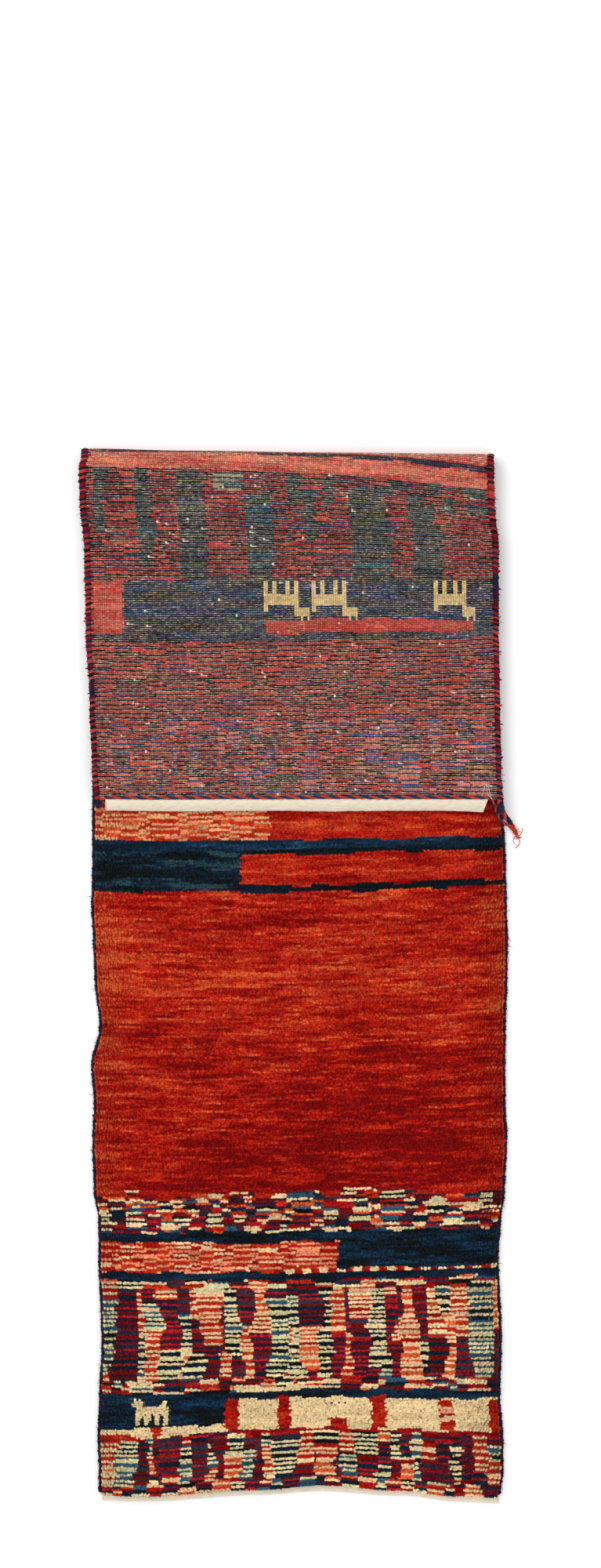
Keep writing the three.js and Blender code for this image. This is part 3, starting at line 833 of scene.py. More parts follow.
@dataclass
class Draft:
    """A mesh in the making: points in mm, faces, colours and places on its maps."""

    name: str
    points: list[Array] = field(default_factory=list)
    faces: list[Array] = field(default_factory=list)
    colours: list[Array] = field(default_factory=list)
    charts: list[Array] = field(default_factory=list)
    weaves: list[Array] = field(default_factory=list)
    normals: list[Array] = field(default_factory=list)
    count: int = 0

    def add(
        self,
        points: Array,
        faces: Sequence[Array],
        colour: Array,
        chart: Optional[Array] = None,
        weave: Optional[Array] = None,
        normal: Optional[Array] = None,
    ) -> None:
        """Adds points and the faces between them.

        Args:
            points: Points in mm.
            faces: Arrays of faces, each with one number of corners.
            colour: One colour, or one for each point, or one for each face.
            chart: Places on the bake's map, one for each point or each corner of a face.
            weave: Places in the weave, one for each point.
            normal: Directions that the wool faces, one for each point.
        """
        points = points.reshape(-1, 3)
        corners = np.concatenate([f.ravel() for f in faces])
        sizes = np.concatenate([np.full(len(f), f.shape[1]) for f in faces])
        colour = np.asarray(colour, float)
        if colour.ndim == 1:
            corner_colour = np.broadcast_to(colour, (len(corners), 3))
        elif len(colour) == len(points):
            corner_colour = colour[corners]
        else:
            corner_colour = np.repeat(colour, sizes, axis=0)
        self.points.append(points)
        self.faces.extend(f + self.count for f in faces)
        self.colours.append(corner_colour)
        for places, found in ((self.charts, chart), (self.weaves, weave)):
            if found is not None:
                found = found.reshape(-1, 2)
                places.append(found if len(found) == len(corners) else found[corners])
        if normal is not None:
            self.normals.append(normal.reshape(-1, 3))
        self.count += len(points)

    def build(self, material: bpy.types.Material, slot: str) -> bpy.types.Object:
        """Makes the object, which rides on the rug's body.

        Args:
            material: Its finish.
            slot: Not used.

        Returns:
            The new object.
        """
        mesh = bpy.data.meshes.new(self.name)
        points = np.concatenate(self.points) * MM
        corners = np.concatenate([f.ravel() for f in self.faces]).astype(np.int32)
        sizes = np.concatenate([np.full(len(f), f.shape[1]) for f in self.faces])
        starts = np.concatenate([[0], np.cumsum(sizes)[:-1]]).astype(np.int32)
        mesh.vertices.add(len(points))
        mesh.vertices.foreach_set("co", points.astype(np.float32).ravel())
        mesh.loops.add(len(corners))
        mesh.loops.foreach_set("vertex_index", corners)
        mesh.polygons.add(len(sizes))
        mesh.polygons.foreach_set("loop_start", starts)
        colours = np.ones((len(corners), 4), np.float32)
        colours[:, :3] = np.concatenate(self.colours)
        layer = mesh.color_attributes.new("yarn_colour", "FLOAT_COLOR", "CORNER")
        layer.data.foreach_set("color", colours.ravel())
        for name, places in (("Weave", self.weaves), ("OFBake", self.charts)):
            if places:
                layer = mesh.uv_layers.new(name=name)
                layer.uv.foreach_set("vector", np.concatenate(places).astype(np.float32).ravel())
        mesh.update(calc_edges=True)
        mesh.validate()
        mesh.shade_smooth()
        if self.normals:
            mesh.normals_split_custom_set_from_vertices(np.concatenate(self.normals))
        mesh.materials.append(material)
        made = placed(self.name, mesh)
        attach(made, BODY)
        LOG.info("%s: %d points, %d faces", self.name, len(points), len(sizes))
        return made


def ring_faces(rings: int, size: int) -> Array:
    """Faces between rings of points.

    Args:
        rings: How many rings.
        size: How many points each has.

    Returns:
        Four corners for each face.
    """
    i, j = np.meshgrid(np.arange(rings - 1), np.arange(size), indexing="ij")
    a, b = i * size + j, i * size + (j + 1) % size
    return np.stack([a, b, b + size, a + size], -1).reshape(-1, 4)


def tube_faces(rings: int, size: int) -> list[Array]:
    """Faces of a closed tube.

    Args:
        rings: How many rings.
        size: How many points each has.

    Returns:
        Its sides, then the triangles that close both ends.
    """
    k = np.arange(1, size - 1)
    first = np.stack([np.zeros_like(k), k + 1, k], -1)
    last = np.stack([np.zeros_like(k), k, k + 1], -1) + (rings - 1) * size
    return [ring_faces(rings, size), np.concatenate([first, last])]


def grid_faces(rows: int, columns: int) -> Array:
    """Faces between the points of a grid, row after row."""
    i, j = np.meshgrid(np.arange(rows - 1), np.arange(columns - 1), indexing="ij")
    a = i * columns + j
    return np.stack([a, a + 1, a + columns + 1, a + columns], -1).reshape(-1, 4)


def tube_chart(rings: int, size: int, folds: int) -> Array:
    """Lays a long tube out on the bake's map in columns side by side.

    Args:
        rings: How many rings the tube has.
        size: How many points each has.
        folds: How many columns it is laid out in.

    Returns:
        A place for each point.
    """
    at = np.arange(rings) * folds / rings
    column = np.minimum(at.astype(int), folds - 1)
    u = (column[:, None] + 0.02 + 0.96 * np.arange(size)[None] / (size - 1)) / folds
    v = np.broadcast_to((at - column)[:, None], u.shape)
    return np.stack([u, v], -1)


def smooth_path(stops: Sequence[Sequence[float]], count: int) -> Array:
    """Runs a smooth line through points.

    Args:
        stops: The points, each with any further sizes after its place.
        count: How many points the line gets.

    Returns:
        The line's points, with the sizes blended along it.
    """
    p = np.array(stops, float)
    p = np.concatenate([[2 * p[0] - p[1]], p, [2 * p[-1] - p[-2]]])
    t = np.linspace(0, len(p) - 3 - 1e-6, count)
    i = t.astype(int)
    s = (t - i)[:, None]
    a, b, c, d = p[i], p[i + 1], p[i + 2], p[i + 3]
    return 0.5 * (
        2 * b + (c - a) * s + (2 * a - 5 * b + 4 * c - d) * s**2 + (3 * b - a - 3 * c + d) * s**3
    )


def path_frames(path: Array) -> tuple[Array, Array]:
    """Finds a sideways and an outward direction along a path.

    Args:
        path: Points of a path that is nowhere upright.

    Returns:
        Unit vectors to the side and out, for each point.
    """
    along = np.gradient(path, axis=0)
    along /= np.linalg.norm(along, axis=1, keepdims=True)
    side = np.cross([0, 0, 1.0], along)
    side /= np.maximum(np.linalg.norm(side, axis=1, keepdims=True), 1e-6)
    return side, np.cross(along, side)


def lengths_along(path: Array) -> Array:
    """Distance from the start of a path to each of its points."""
    return np.concatenate([[0], np.cumsum(np.linalg.norm(np.diff(path, axis=0), axis=1))])


def wound(path: Array, phase: Array, wide: Places, tall: Places) -> Array:
    """Winds a ply's middle line round a path.

    Args:
        path: Points of the path.
        phase: How far the ply has turned at each, in radians.
        wide: How far it swings to the side.
        tall: How far it swings out.

    Returns:
        The ply's points.
    """
    side, out = path_frames(path)
    return path + (wide * np.cos(phase))[:, None] * side + (tall * np.sin(phase))[:, None] * out


def tube(path: Array, half: Places, rise: Places, sides: int) -> Array:
    """Rings of an oval tube along a path.

    Args:
        path: Points of its middle line.
        half: Half its width along the way.
        rise: Half its height along the way.
        sides: How many points a ring has.

    Returns:
        The rings' points.
    """
    side, out = path_frames(path)
    angle = 2 * np.pi * (np.arange(sides) + 0.5) / sides
    half = np.broadcast_to(half, len(path))[:, None, None]
    rise = np.broadcast_to(rise, len(path))[:, None, None]
    across = half * np.cos(angle)[None, :, None] * side[:, None]
    return path[:, None] + across + rise * np.sin(angle)[None, :, None] * out[:, None]


def wire(tree: bpy.types.NodeTree, start: bpy.types.NodeSocket, end: bpy.types.NodeSocket) -> None:
    """Links two sockets."""
    tree.links.new(start, end)


def maths(tree: bpy.types.NodeTree, operation: str, *values: object) -> bpy.types.NodeSocket:
    """Adds a Math node.

    Args:
        tree: Where it goes.
        operation: Its operation.
        values: Its inputs, each a number or a socket.

    Returns:
        Its output.
    """
    node = tree.nodes.new("ShaderNodeMath")
    node.operation = operation
    for socket, value in zip(node.inputs, values):
        if isinstance(value, bpy.types.NodeSocket):
            wire(tree, value, socket)
        else:
            socket.default_value = value
    return node.outputs[0]


def set_inputs(node: bpy.types.Node, values: dict[str, object]) -> None:
    """Sets a node's inputs by name."""
    for name, value in values.items():
        node.inputs[name].default_value = value


def scaled(
    tree: bpy.types.NodeTree, colour: bpy.types.NodeSocket, share: bpy.types.NodeSocket
) -> bpy.types.NodeSocket:
    """Adds a node that scales a colour.

    Args:
        tree: Where it goes.
        colour: The colour.
        share: What it is scaled by.

    Returns:
        The scaled colour.
    """
    node = tree.nodes.new("ShaderNodeVectorMath")
    node.operation = "SCALE"
    wire(tree, colour, node.inputs[0])
    wire(tree, share, node.inputs["Scale"])
    return node.outputs["Vector"]


def new_group(
    name: str, inputs: Sequence[tuple[str, str, float]], outputs: Sequence[tuple[str, str]]
) -> tuple[bpy.types.NodeTree, bpy.types.Node, bpy.types.Node]:
    """Starts a shader node group with named sockets.

    Args:
        name: The group's name.
        inputs: Name, socket type and usual value of each input.
        outputs: Name and socket type of each output.

    Returns:
        The group, its input node and its output node.
    """
    tree = bpy.data.node_groups.new(name, "ShaderNodeTree")
    for label, kind, usual in inputs:
        socket = tree.interface.new_socket(label, in_out="INPUT", socket_type=kind)
        if kind == "NodeSocketFloat":
            socket.default_value = usual
    for label, kind in outputs:
        tree.interface.new_socket(label, in_out="OUTPUT", socket_type=kind)
    return tree, tree.nodes.new("NodeGroupInput"), tree.nodes.new("NodeGroupOutput")


TUFTS_TO_FIBRES = 0.17
NODE_ROUNDNESS = 0.6  # power of the weave's waves


def wool_fibre_group() -> bpy.types.NodeTree:
    """Makes the group that gives hand-spun wool its heathered, fibrous look.

    Returns:
        A group with the wool's colour and a fibre height.
    """
    tree, given, result = new_group(
        "wool_fibre",
        [
            ("Colour", "NodeSocketColor", 0),
            ("Heather", "NodeSocketFloat", 0.3),
            ("Fibres per Metre", "NodeSocketFloat", 900),
        ],
        [("Colour", "NodeSocketColor"), ("Height", "NodeSocketFloat")],
    )
    place = tree.nodes.new("ShaderNodeTexCoord")
    fibre = tree.nodes.new("ShaderNodeTexNoise")
    tuft = tree.nodes.new("ShaderNodeTexNoise")
    tufts = maths(tree, "MULTIPLY", given.outputs["Fibres per Metre"], TUFTS_TO_FIBRES)
    for noise, detail, scale in ((fibre, 3, given.outputs["Fibres per Metre"]), (tuft, 2, tufts)):
        noise.inputs["Detail"].default_value = detail
        wire(tree, place.outputs["Object"], noise.inputs["Vector"])
        wire(tree, scale, noise.inputs["Scale"])
    fine = maths(tree, "SUBTRACT", fibre.outputs["Fac"], 0.5)
    broad = maths(tree, "SUBTRACT", tuft.outputs["Fac"], 0.5)
    both = maths(tree, "MULTIPLY_ADD", fine, 2.0, broad)
    tone = maths(tree, "MULTIPLY_ADD", both, given.outputs["Heather"], 1.0)
    wire(tree, scaled(tree, given.outputs["Colour"], tone), result.inputs["Colour"])
    wire(tree, fibre.outputs["Fac"], result.inputs["Height"])
    return tree


def weave_node_group() -> bpy.types.NodeTree:
    """Makes the group that raises the small nodes of a weave.

    Returns:
        A group with the nodes' height and the painted shade that darkens the hollows between them.
    """
    tree, given, result = new_group(
        "weave_nodes",
        [("Place", "NodeSocketVector", 0), ("Hollow Shade", "NodeSocketFloat", 0.3)],
        [("Height", "NodeSocketFloat"), ("Shade", "NodeSocketFloat")],
    )
    split = tree.nodes.new("ShaderNodeSeparateXYZ")
    wire(tree, given.outputs["Place"], split.inputs[0])
    waves = [
        maths(tree, "ABSOLUTE", maths(tree, "SINE", maths(tree, "MULTIPLY", split.outputs[k], math.pi)))
        for k in (0, 1)
    ]
    across, along = (maths(tree, "POWER", wave, NODE_ROUNDNESS) for wave in waves)
    height = maths(tree, "MULTIPLY", across, along)
    hollow = maths(tree, "SUBTRACT", 1.0, across)
    depth = maths(tree, "MULTIPLY", hollow, given.outputs["Hollow Shade"])
    wire(tree, height, result.inputs["Height"])
    wire(tree, maths(tree, "SUBTRACT", 1.0, depth), result.inputs["Shade"])
    return tree


@dataclass(frozen=True)
class WoolFinish:
    """A wool finish, coloured by the yarn of each face."""

    name: str
    roughness: float = 0.92
    sheen: float = 0.02
    heather: float = 0.35
    fibres: float = 900.0
    bump: float = 0.35
    bump_depth: float = 0.0005
    # painted shade in the hollows between the weave's nodes
    node_painted_shade: float = 0.0
    node_height: float = 1.6
    sheen_roughness: float = 0.5
    specular: float = 0.08

    def material(self, groups: dict[str, bpy.types.NodeTree]) -> bpy.types.Material:
        """Builds the finish's material.

        Args:
            groups: The shared node groups by name.

        Returns:
            The material.
        """
        made = bpy.data.materials.new(self.name)
        made.use_nodes = True
        tree = made.node_tree
        wool = tree.nodes["Principled BSDF"]
        set_inputs(wool, {
            "Roughness": self.roughness,
            "Sheen Weight": self.sheen,
            "Sheen Roughness": self.sheen_roughness,
            "Specular IOR Level": self.specular,
        })
        yarn = tree.nodes.new("ShaderNodeAttribute")
        yarn.attribute_name = "yarn_colour"
        fibre = tree.nodes.new("ShaderNodeGroup")
        fibre.node_tree = groups["wool_fibre"]
        set_inputs(fibre, {"Heather": self.heather, "Fibres per Metre": self.fibres})
        wire(tree, yarn.outputs["Color"], fibre.inputs["Colour"])
        colour, height = fibre.outputs["Colour"], fibre.outputs["Height"]
        if self.node_painted_shade > 0:
            weave = tree.nodes.new("ShaderNodeGroup")
            weave.node_tree = groups["weave_nodes"]
            weave.inputs["Hollow Shade"].default_value = self.node_painted_shade
            place = tree.nodes.new("ShaderNodeUVMap")
            place.uv_map = "Weave"
            wire(tree, place.outputs["UV"], weave.inputs["Place"])
            # painted shade darkens the colour in the hollows between the nodes
            colour = scaled(tree, colour, weave.outputs["Shade"])
            height = maths(tree, "MULTIPLY_ADD", weave.outputs["Height"], self.node_height, height)
        bump = tree.nodes.new("ShaderNodeBump")
        set_inputs(bump, {"Strength": self.bump, "Distance": self.bump_depth})
        wire(tree, height, bump.inputs["Height"])
        wire(tree, bump.outputs["Normal"], wool.inputs["Normal"])
        wire(tree, colour, wool.inputs["Base Color"])
        return made


@dataclass
class Foundation:
    """The knotted ground of the rug: one thin folded sheet that carries pile, back and hems."""

    chart: YarnChart
    rest_depth: float = 0.15
    under_back: float = 1.3
    open_core: float = 11.2
    hidden_core: float = 13.1
    pile_columns: int = 46
    pile_reach: float = 0.4
    stride: int = 3
    # painted shade on the pile side and the ends of the sheet, among the roots of the tufts
    root_painted_shade: float = 0.6
    shelf_lift: float = 0.2
    # how many rows ahead a change of depth starts, and how many it takes
    back_change: tuple[float, float] = (3.0, 6.0)
    core_change: tuple[float, float] = (2.0, 8.0)

    def changed(self, rows: Array, at: int, change: tuple[float, float]) -> Array:
        """Share of a change of depth that is done in each row."""
        return eased((rows - at + change[0]) / change[1])

    def build(self, material: bpy.types.Material) -> bpy.types.Object:
        """Builds the sheet.

        Args:
            material: Its finish.

        Returns:
            The sheet, which stands for the rug's solid.
        """
        under = np.arange(FIRST_BACK_ROW + self.stride, ROWS - 1, self.stride)
        rows = np.concatenate([np.arange(FIRST_BACK_ROW + 1), under, [ROWS]]).astype(float)
        share = self.changed(rows, FIRST_BACK_ROW, self.back_change)
        back = mixed(self.rest_depth, self.under_back, share)
        share = self.changed(rows, OPEN_ROWS, self.core_change)
        core = mixed(self.open_core, self.hidden_core, share)
        columns = self.pile_columns + 1
        pile_knots = np.linspace(-self.pile_reach, KNOTS + self.pile_reach, columns)
        out = KNOTS + self.pile_reach
        shelf = CLOTH.shelf + self.shelf_lift
        back_knots = np.arange(KNOTS, -1, -2)
        knots = np.concatenate([pile_knots, [out, KNOTS], back_knots, [0, -self.pile_reach]])
        depth = np.empty((len(rows), len(knots)))
        depth[:, :columns] = core[:, None]
        depth[:, columns : columns + 2] = shelf
        depth[:, columns + 2 : -2] = back[:, None]
        depth[:, -2:] = shelf
        points = CLOTH.point(rows[:, None], knots[None], depth)
        colour = self.face_colours(rows, knots, columns)
        size = len(knots)
        draft = Draft("rug_foundation")
        faces = [ring_faces(len(rows), size), self.caps(len(rows), size, columns)]
        node = np.clip(2 * knots[faces[1][:, 0] % size], 0, NODES - 1).astype(int)
        end = np.where(faces[1][:, 0] < size, 0, ROWS - 1)
        # the ends take the chart's colours darkened as painted shade
        caps = self.chart.colour[end, node] * self.root_painted_shade
        weave = np.stack(np.broadcast_arrays(2 * knots[None], rows[:, None]), -1)
        draft.add(points, faces, np.concatenate([colour, caps]), weave=weave)
        return draft.build(material, "rug_wool")

    def face_colours(self, rows: Array, knots: Array, columns: int) -> Array:
        """Colours the sheet's faces from the chart, with painted shade at the roots of the pile.

        Args:
            rows: Row of each ring.
            knots: Place in knots of each point of a ring.
            columns: How many points of a ring lie on the pile side.

        Returns:
            A colour for each face.
        """
        row = np.minimum(rows[:-1].astype(int), ROWS - 1)
        middle = (knots + np.roll(knots, -1)) / 2
        node = np.clip(2 * middle, 0, NODES - 2).astype(int)
        colour = (self.chart.colour[row][:, node] + self.chart.colour[row][:, node + 1]) / 2
        # painted shade on the pile side; the back keeps its colour
        shade = np.full(len(knots), self.root_painted_shade)
        shade[columns + 2 : -3] = 1.0
        return (colour * shade[None, :, None]).reshape(-1, 3)

    def caps(self, rings: int, size: int, columns: int) -> Array:
        """Closes both ends with a zip between the pile side and the back.

        Args:
            rings: How many rings the sheet has.
            size: How many points each has.
            columns: How many points of a ring lie on the pile side.

        Returns:
            Triangles of both ends.
        """
        upper = [size - 1, *range(columns), columns]
        lower = list(range(size - 2, columns, -1))
        faces, i, j = [], 0, 0
        while i < len(upper) - 1 or j < len(lower) - 1:
            ahead = (i + 1) / len(upper) <= (j + 1) / len(lower)
            if j == len(lower) - 1 or (i < len(upper) - 1 and ahead):
                faces.append((upper[i], upper[i + 1], lower[j]))
                i += 1
            else:
                faces.append((upper[i], lower[j + 1], lower[j]))
                j += 1
        first = np.array(faces)
        return np.concatenate([first, first[:, ::-1] + (rings - 1) * size])


@dataclass
class WovenBack:
    """The back of the flap and fold: a ridge of knots and a pale weft in each row."""

    chart: YarnChart
    ridge: float = 0.0
    hollow: float = 0.8
    tucked: float = 1.6
    knot_share: float = 0.74
    thick_cover: float = 0.45
    pale_widening: float = 0.12
    # row, then how much of the weft the wool covers there beside dark knots
    thin_cover: tuple[tuple[float, float], ...] = (
        (492, 0.9),
        (494, 0.52),
        (574, 0.5),
        (580, 0.4),
        (616, 0.32),
        (649, 0.22),
    )
    floats: int = 90
    float_tones: tuple[float, float] = (0.4, 1.0)
    undyed_tones: tuple[float, float] = (0.35, 1.3)
    seed: int = 7
    plain_rows: int = 28
    dark_below: float = 0.05
    pale_above: float = 0.3
    cover_streaks: tuple[float, float] = (0.09, 12)
    cover_change: float = 0.1
    cover_most: float = 0.95
    unevenness: float = 0.2
    waver: float = 0.07
    flare: float = 0.35

    def wefts(self, knots: Array, rng: np.random.Generator) -> Array:
        """Colours the weft between the rows, which shows most beside dark wool.

        Args:
            knots: The knots' colours, row by row.
            rng: Where its unevenness comes from.

        Returns:
            The weft's colours, row by row.
        """
        light = knots.max(-1)
        light = np.minimum(light, np.roll(light, -1, axis=0))
        solid = np.clip((light - self.dark_below) / self.pale_above, 0, 1)
        rows, thin = np.array(self.thin_cover).T
        thin = np.interp(np.arange(FIRST_BACK_ROW, ROWS), rows, thin)[:, None]
        cover = mixed(thin, self.thick_cover, solid)
        cover += self.cover_streaks[0] * self.chart.streaks(*light.shape, self.cover_streaks[1])
        cover += rng.normal(0, self.cover_change, light.shape)
        undyed = Dye.UNDYED.linear * rng.uniform(*self.undyed_tones, (*light.shape, 1))
        return mixed(undyed, knots, np.clip(cover, 0, self.cover_most)[..., None])

    def build(self, material: bpy.types.Material) -> bpy.types.Object:
        """Builds the ribbed back.

        Args:
            material: Its finish.

        Returns:
            The new object.
        """
        rng = np.random.default_rng(self.seed)
        count = ROWS - FIRST_BACK_ROW
        rows = np.repeat(np.arange(FIRST_BACK_ROW, ROWS), 2).astype(float)
        rows[1::2] += self.knot_share
        rows = np.append(rows, ROWS)
        nodes = np.arange(NODES + 1)
        depth = np.full((len(rows), len(nodes)), self.hollow)
        depth[1::2] = self.ridge
        depth[1:-1] += rng.uniform(0, self.unevenness, (len(rows) - 2, len(nodes)))
        depth[:, [0, -1]] = self.tucked
        depth[[0, -1]] = self.tucked
        waver = np.zeros(depth.shape)
        waver[1:-1] = rng.normal(0, self.waver, (len(rows) - 2, len(nodes)))
        knot = nodes / 2
        knot[[0, -1]] += [-self.flare, self.flare]
        knots = self.chart.colour[FIRST_BACK_ROW:].copy()
        pale = np.clip(knots.max(-1) / self.pale_above, 0, 1)
        waver[1::2, :-1] += self.pale_widening * (pale - 0.5)
        points = CLOTH.point(rows[:, None] + waver, knot[None], depth)
        wefts = self.wefts(knots, rng)
        for _ in range(self.floats):
            row, node = rng.integers(self.plain_rows, count - 1), rng.integers(2, NODES - 4)
            wefts[row, node : node + rng.integers(1, 4)] = Dye.WHITE.linear
            knots[row, node] = Dye.UNDYED.linear * rng.uniform(*self.float_tones)
        colour = np.stack([knots, wefts], 1).reshape(-1, 3)
        size = np.array([NODES, len(rows) - 1])
        across, along = np.broadcast_arrays(nodes[None], np.arange(len(rows))[:, None])
        chart = np.stack([across, along], -1) / size
        weave = np.stack([across + 0.0, along / 2], -1)
        draft = Draft("rug_woven_back")
        faces = grid_faces(len(rows), len(nodes))[:, ::-1]
        draft.add(points, [faces], colour, chart=chart, weave=weave)
        return draft.build(material, "rug_wool")


@dataclass
class Pile:
    """The open pile: a tuft for each node, leaning towards the rug's lower end."""

    chart: YarnChart
    height: float = 13.6
    shoulder: float = 0.85
    root_depth: float = 8.6
    girth: float = 2.85
    lean: float = 0.55
    spill: float = 0.83
    spill_reach: float = 9.0
    sides: int = 5
    roundness: float = 0.5
    unevenness: float = 0.16
    bloom: float = 0.12
    # painted shade at the tufts' roots and shoulders, painted highlight at their tips
    tuft_root_painted_shade: float = 0.6
    tuft_shoulder_painted_shade: float = 0.84
    tuft_tip_painted_highlight: float = 1.04
    bands: tuple[tuple[str, int, int], ...] = (
        ("pile_lower_end", 0, 81),
        ("pile_lower_bands", 81, 162),
        ("pile_red_field", 162, 243),
        ("pile_upper_bands", 243, OPEN_ROWS),
    )
    seed: int = 100
    edge_seed: int = 17
    steep: float = 0.6
    plumpness: tuple[float, float] = (0.85, 1.15)
    girths: tuple[float, float] = (0.86, 1.14)
    cut: tuple[float, float] = (-1.2, -0.15)
    pale_green: float = 0.4
    pale_middle: float = 0.3
    pale_rise: float = 0.4
    lean_change: float = 0.26
    sway: float = 0.17
    shoulder_lean: float = 0.6
    shoulder_out: float = 0.8
    star: tuple[float, float] = (0.3, 0.48)
    # depth in mm and reach in knots of the rows of tufts along the sides
    side_rows: tuple[tuple[float, float], ...] = ((7.9, 0.66), (10.4, 0.74), (12.3, 0.6))
    side_inset: float = 0.45
    # row and reach in rows of the tufts at both ends
    end_rows: tuple[tuple[float, float], ...] = ((0.9, -1.6), (ROWS - 0.9, 1.15))
    end_depths: tuple[float, ...] = (5.2, 8.4, 11.6)
    edge_places: tuple[float, float] = (0.2, 0.8)
    edge_reach: tuple[float, float] = (0.82, 1.05)
    edge_depths: tuple[float, float] = (-0.6, 0.6)
    edge_shift: float = 0.15
    edge_shoulder: float = 0.7
    edge_rise: float = 0.3
    edge_colour_out: float = 0.3
    edge_tone: float = 0.9
    edge_girth: float = 1.75

    def tufts(
        self,
        draft: Draft,
        ends: tuple[Array, Array, Array],
        girth: Array,
        colour: Array,
        cells: Array,
        rng: np.random.Generator,
    ) -> None:
        """Adds tufts, each of them thin at its root and full at its shoulder, their colour darkened
        towards the root as painted shade and lightened at the tip as a painted highlight.

        Args:
            draft: The mesh they go into.
            ends: Points of their roots, shoulders and tips.
            girth: Their radius at the shoulder.
            colour: Their colours.
            cells: Lower left corner and size of each one's cell on the bake's map.
            rng: Where their turns come from.
        """
        root, shoulder, tip = (end.reshape(-1, 3) for end in ends)
        count = len(root)
        axis = tip - root
        axis /= np.linalg.norm(axis, axis=1, keepdims=True)
        flat = np.abs(axis[:, 2]) < self.steep
        guide = np.where(flat[:, None], [0, 0, 1.0], [1.0, 0, 0])
        side = np.cross(axis, guide)
        side /= np.linalg.norm(side, axis=1, keepdims=True)
        other = np.cross(axis, side)
        k, step = np.arange(self.sides), 2 * np.pi / self.sides
        turn = rng.uniform(0, 2 * np.pi, (count, 1)) + k[None] * step
        spoke = np.cos(turn)[..., None] * side[:, None] + np.sin(turn)[..., None] * other[:, None]
        plump = girth[:, None] * rng.uniform(*self.plumpness, turn.shape)
        ring = shoulder[:, None] + spoke * plump[..., None]
        points = np.concatenate([root[:, None], ring, tip[:, None]], 1)
        way = axis[:, None] + rng.normal(0, self.unevenness, (count, 1, 3))
        facing = np.concatenate([way, way + self.roundness * spoke, way], 1)
        facing /= np.linalg.norm(facing, axis=2, keepdims=True)
        after = (k + 1) % self.sides
        last = np.full(self.sides, self.sides + 1)
        fans = np.concatenate(
            [np.stack([after + 1, k + 1, 0 * k], -1), np.stack([k + 1, after + 1, last], -1)]
        )
        base = (np.arange(count) * (self.sides + 2))[:, None, None]
        # painted shade at root and shoulder, painted highlight at the tip
        tone = np.array([self.tuft_root_painted_shade] + [self.tuft_shoulder_painted_shade] * self.sides + [self.tuft_tip_painted_highlight])
        edge, out = (
            size * np.stack([np.cos(angle), np.sin(angle)], -1)
            for size, angle in zip(self.star, (k * step, (k + 0.5) * step))
        )
        star = np.stack([edge[after], edge, out], 1), np.stack([edge, edge[after], 0 * edge], 1)
        laid = np.concatenate(star).reshape(-1, 2) + 0.5
        chart = cells[:, None, :2] + laid[None] * cells[:, None, 2:]
        wool = (colour[:, None] * tone[None, :, None]).reshape(-1, 3)
        draft.add(points, [(base + fans).reshape(-1, 3)], wool, chart=chart, normal=facing)

    def spilled(self, knot: Array) -> Array:
        """Knot places of the tips, which spill out over the selvedges at both sides."""
        left = 1 - eased(knot / self.spill_reach)
        right = 1 - eased((KNOTS - knot) / self.spill_reach)
        return knot + self.spill * (right - left)

    def build(self, material: bpy.types.Material) -> list[bpy.types.Object]:
        """Builds the open pile, band by band.

        Args:
            material: Its finish.

        Returns:
            The bands.
        """
        made = []
        for number, (name, first, last) in enumerate(self.bands):
            rng = np.random.default_rng(self.seed + number)
            row, node = np.meshgrid(np.arange(first, last), np.arange(NODES), indexing="ij")
            row, node = row.ravel(), node.ravel()
            count = len(row)
            knot = (node + 0.5) / 2
            at = row + 0.5
            colour = self.chart.colour[row, node]
            pale = np.clip(colour[:, 1] / self.pale_green, 0, 1) - self.pale_middle
            height = self.height + rng.uniform(*self.cut, count) + self.pale_rise * pale
            lean = self.lean + rng.normal(0, self.lean_change, count)
            top = self.spilled(knot) + rng.normal(0, self.sway, count)
            root = CLOTH.point(at, knot, self.root_depth)
            bend = mixed(knot, top, self.shoulder_out)
            shoulder = CLOTH.point(at - self.shoulder_lean * lean, bend, height - self.shoulder)
            tip = CLOTH.point(at - lean, top, height)
            girth = self.girth * rng.uniform(*self.girths, count) * (1 + self.bloom * pale)
            cell = np.array([1 / NODES, 1 / (last - first)])
            corner = np.stack([node, row - first], -1) * cell
            cells = np.concatenate([corner, np.broadcast_to(cell, (count, 2))], 1)
            draft = Draft(name)
            self.tufts(draft, (root, shoulder, tip), girth, colour, cells, rng)
            made.append(draft.build(material, "rug_wool"))
        return made

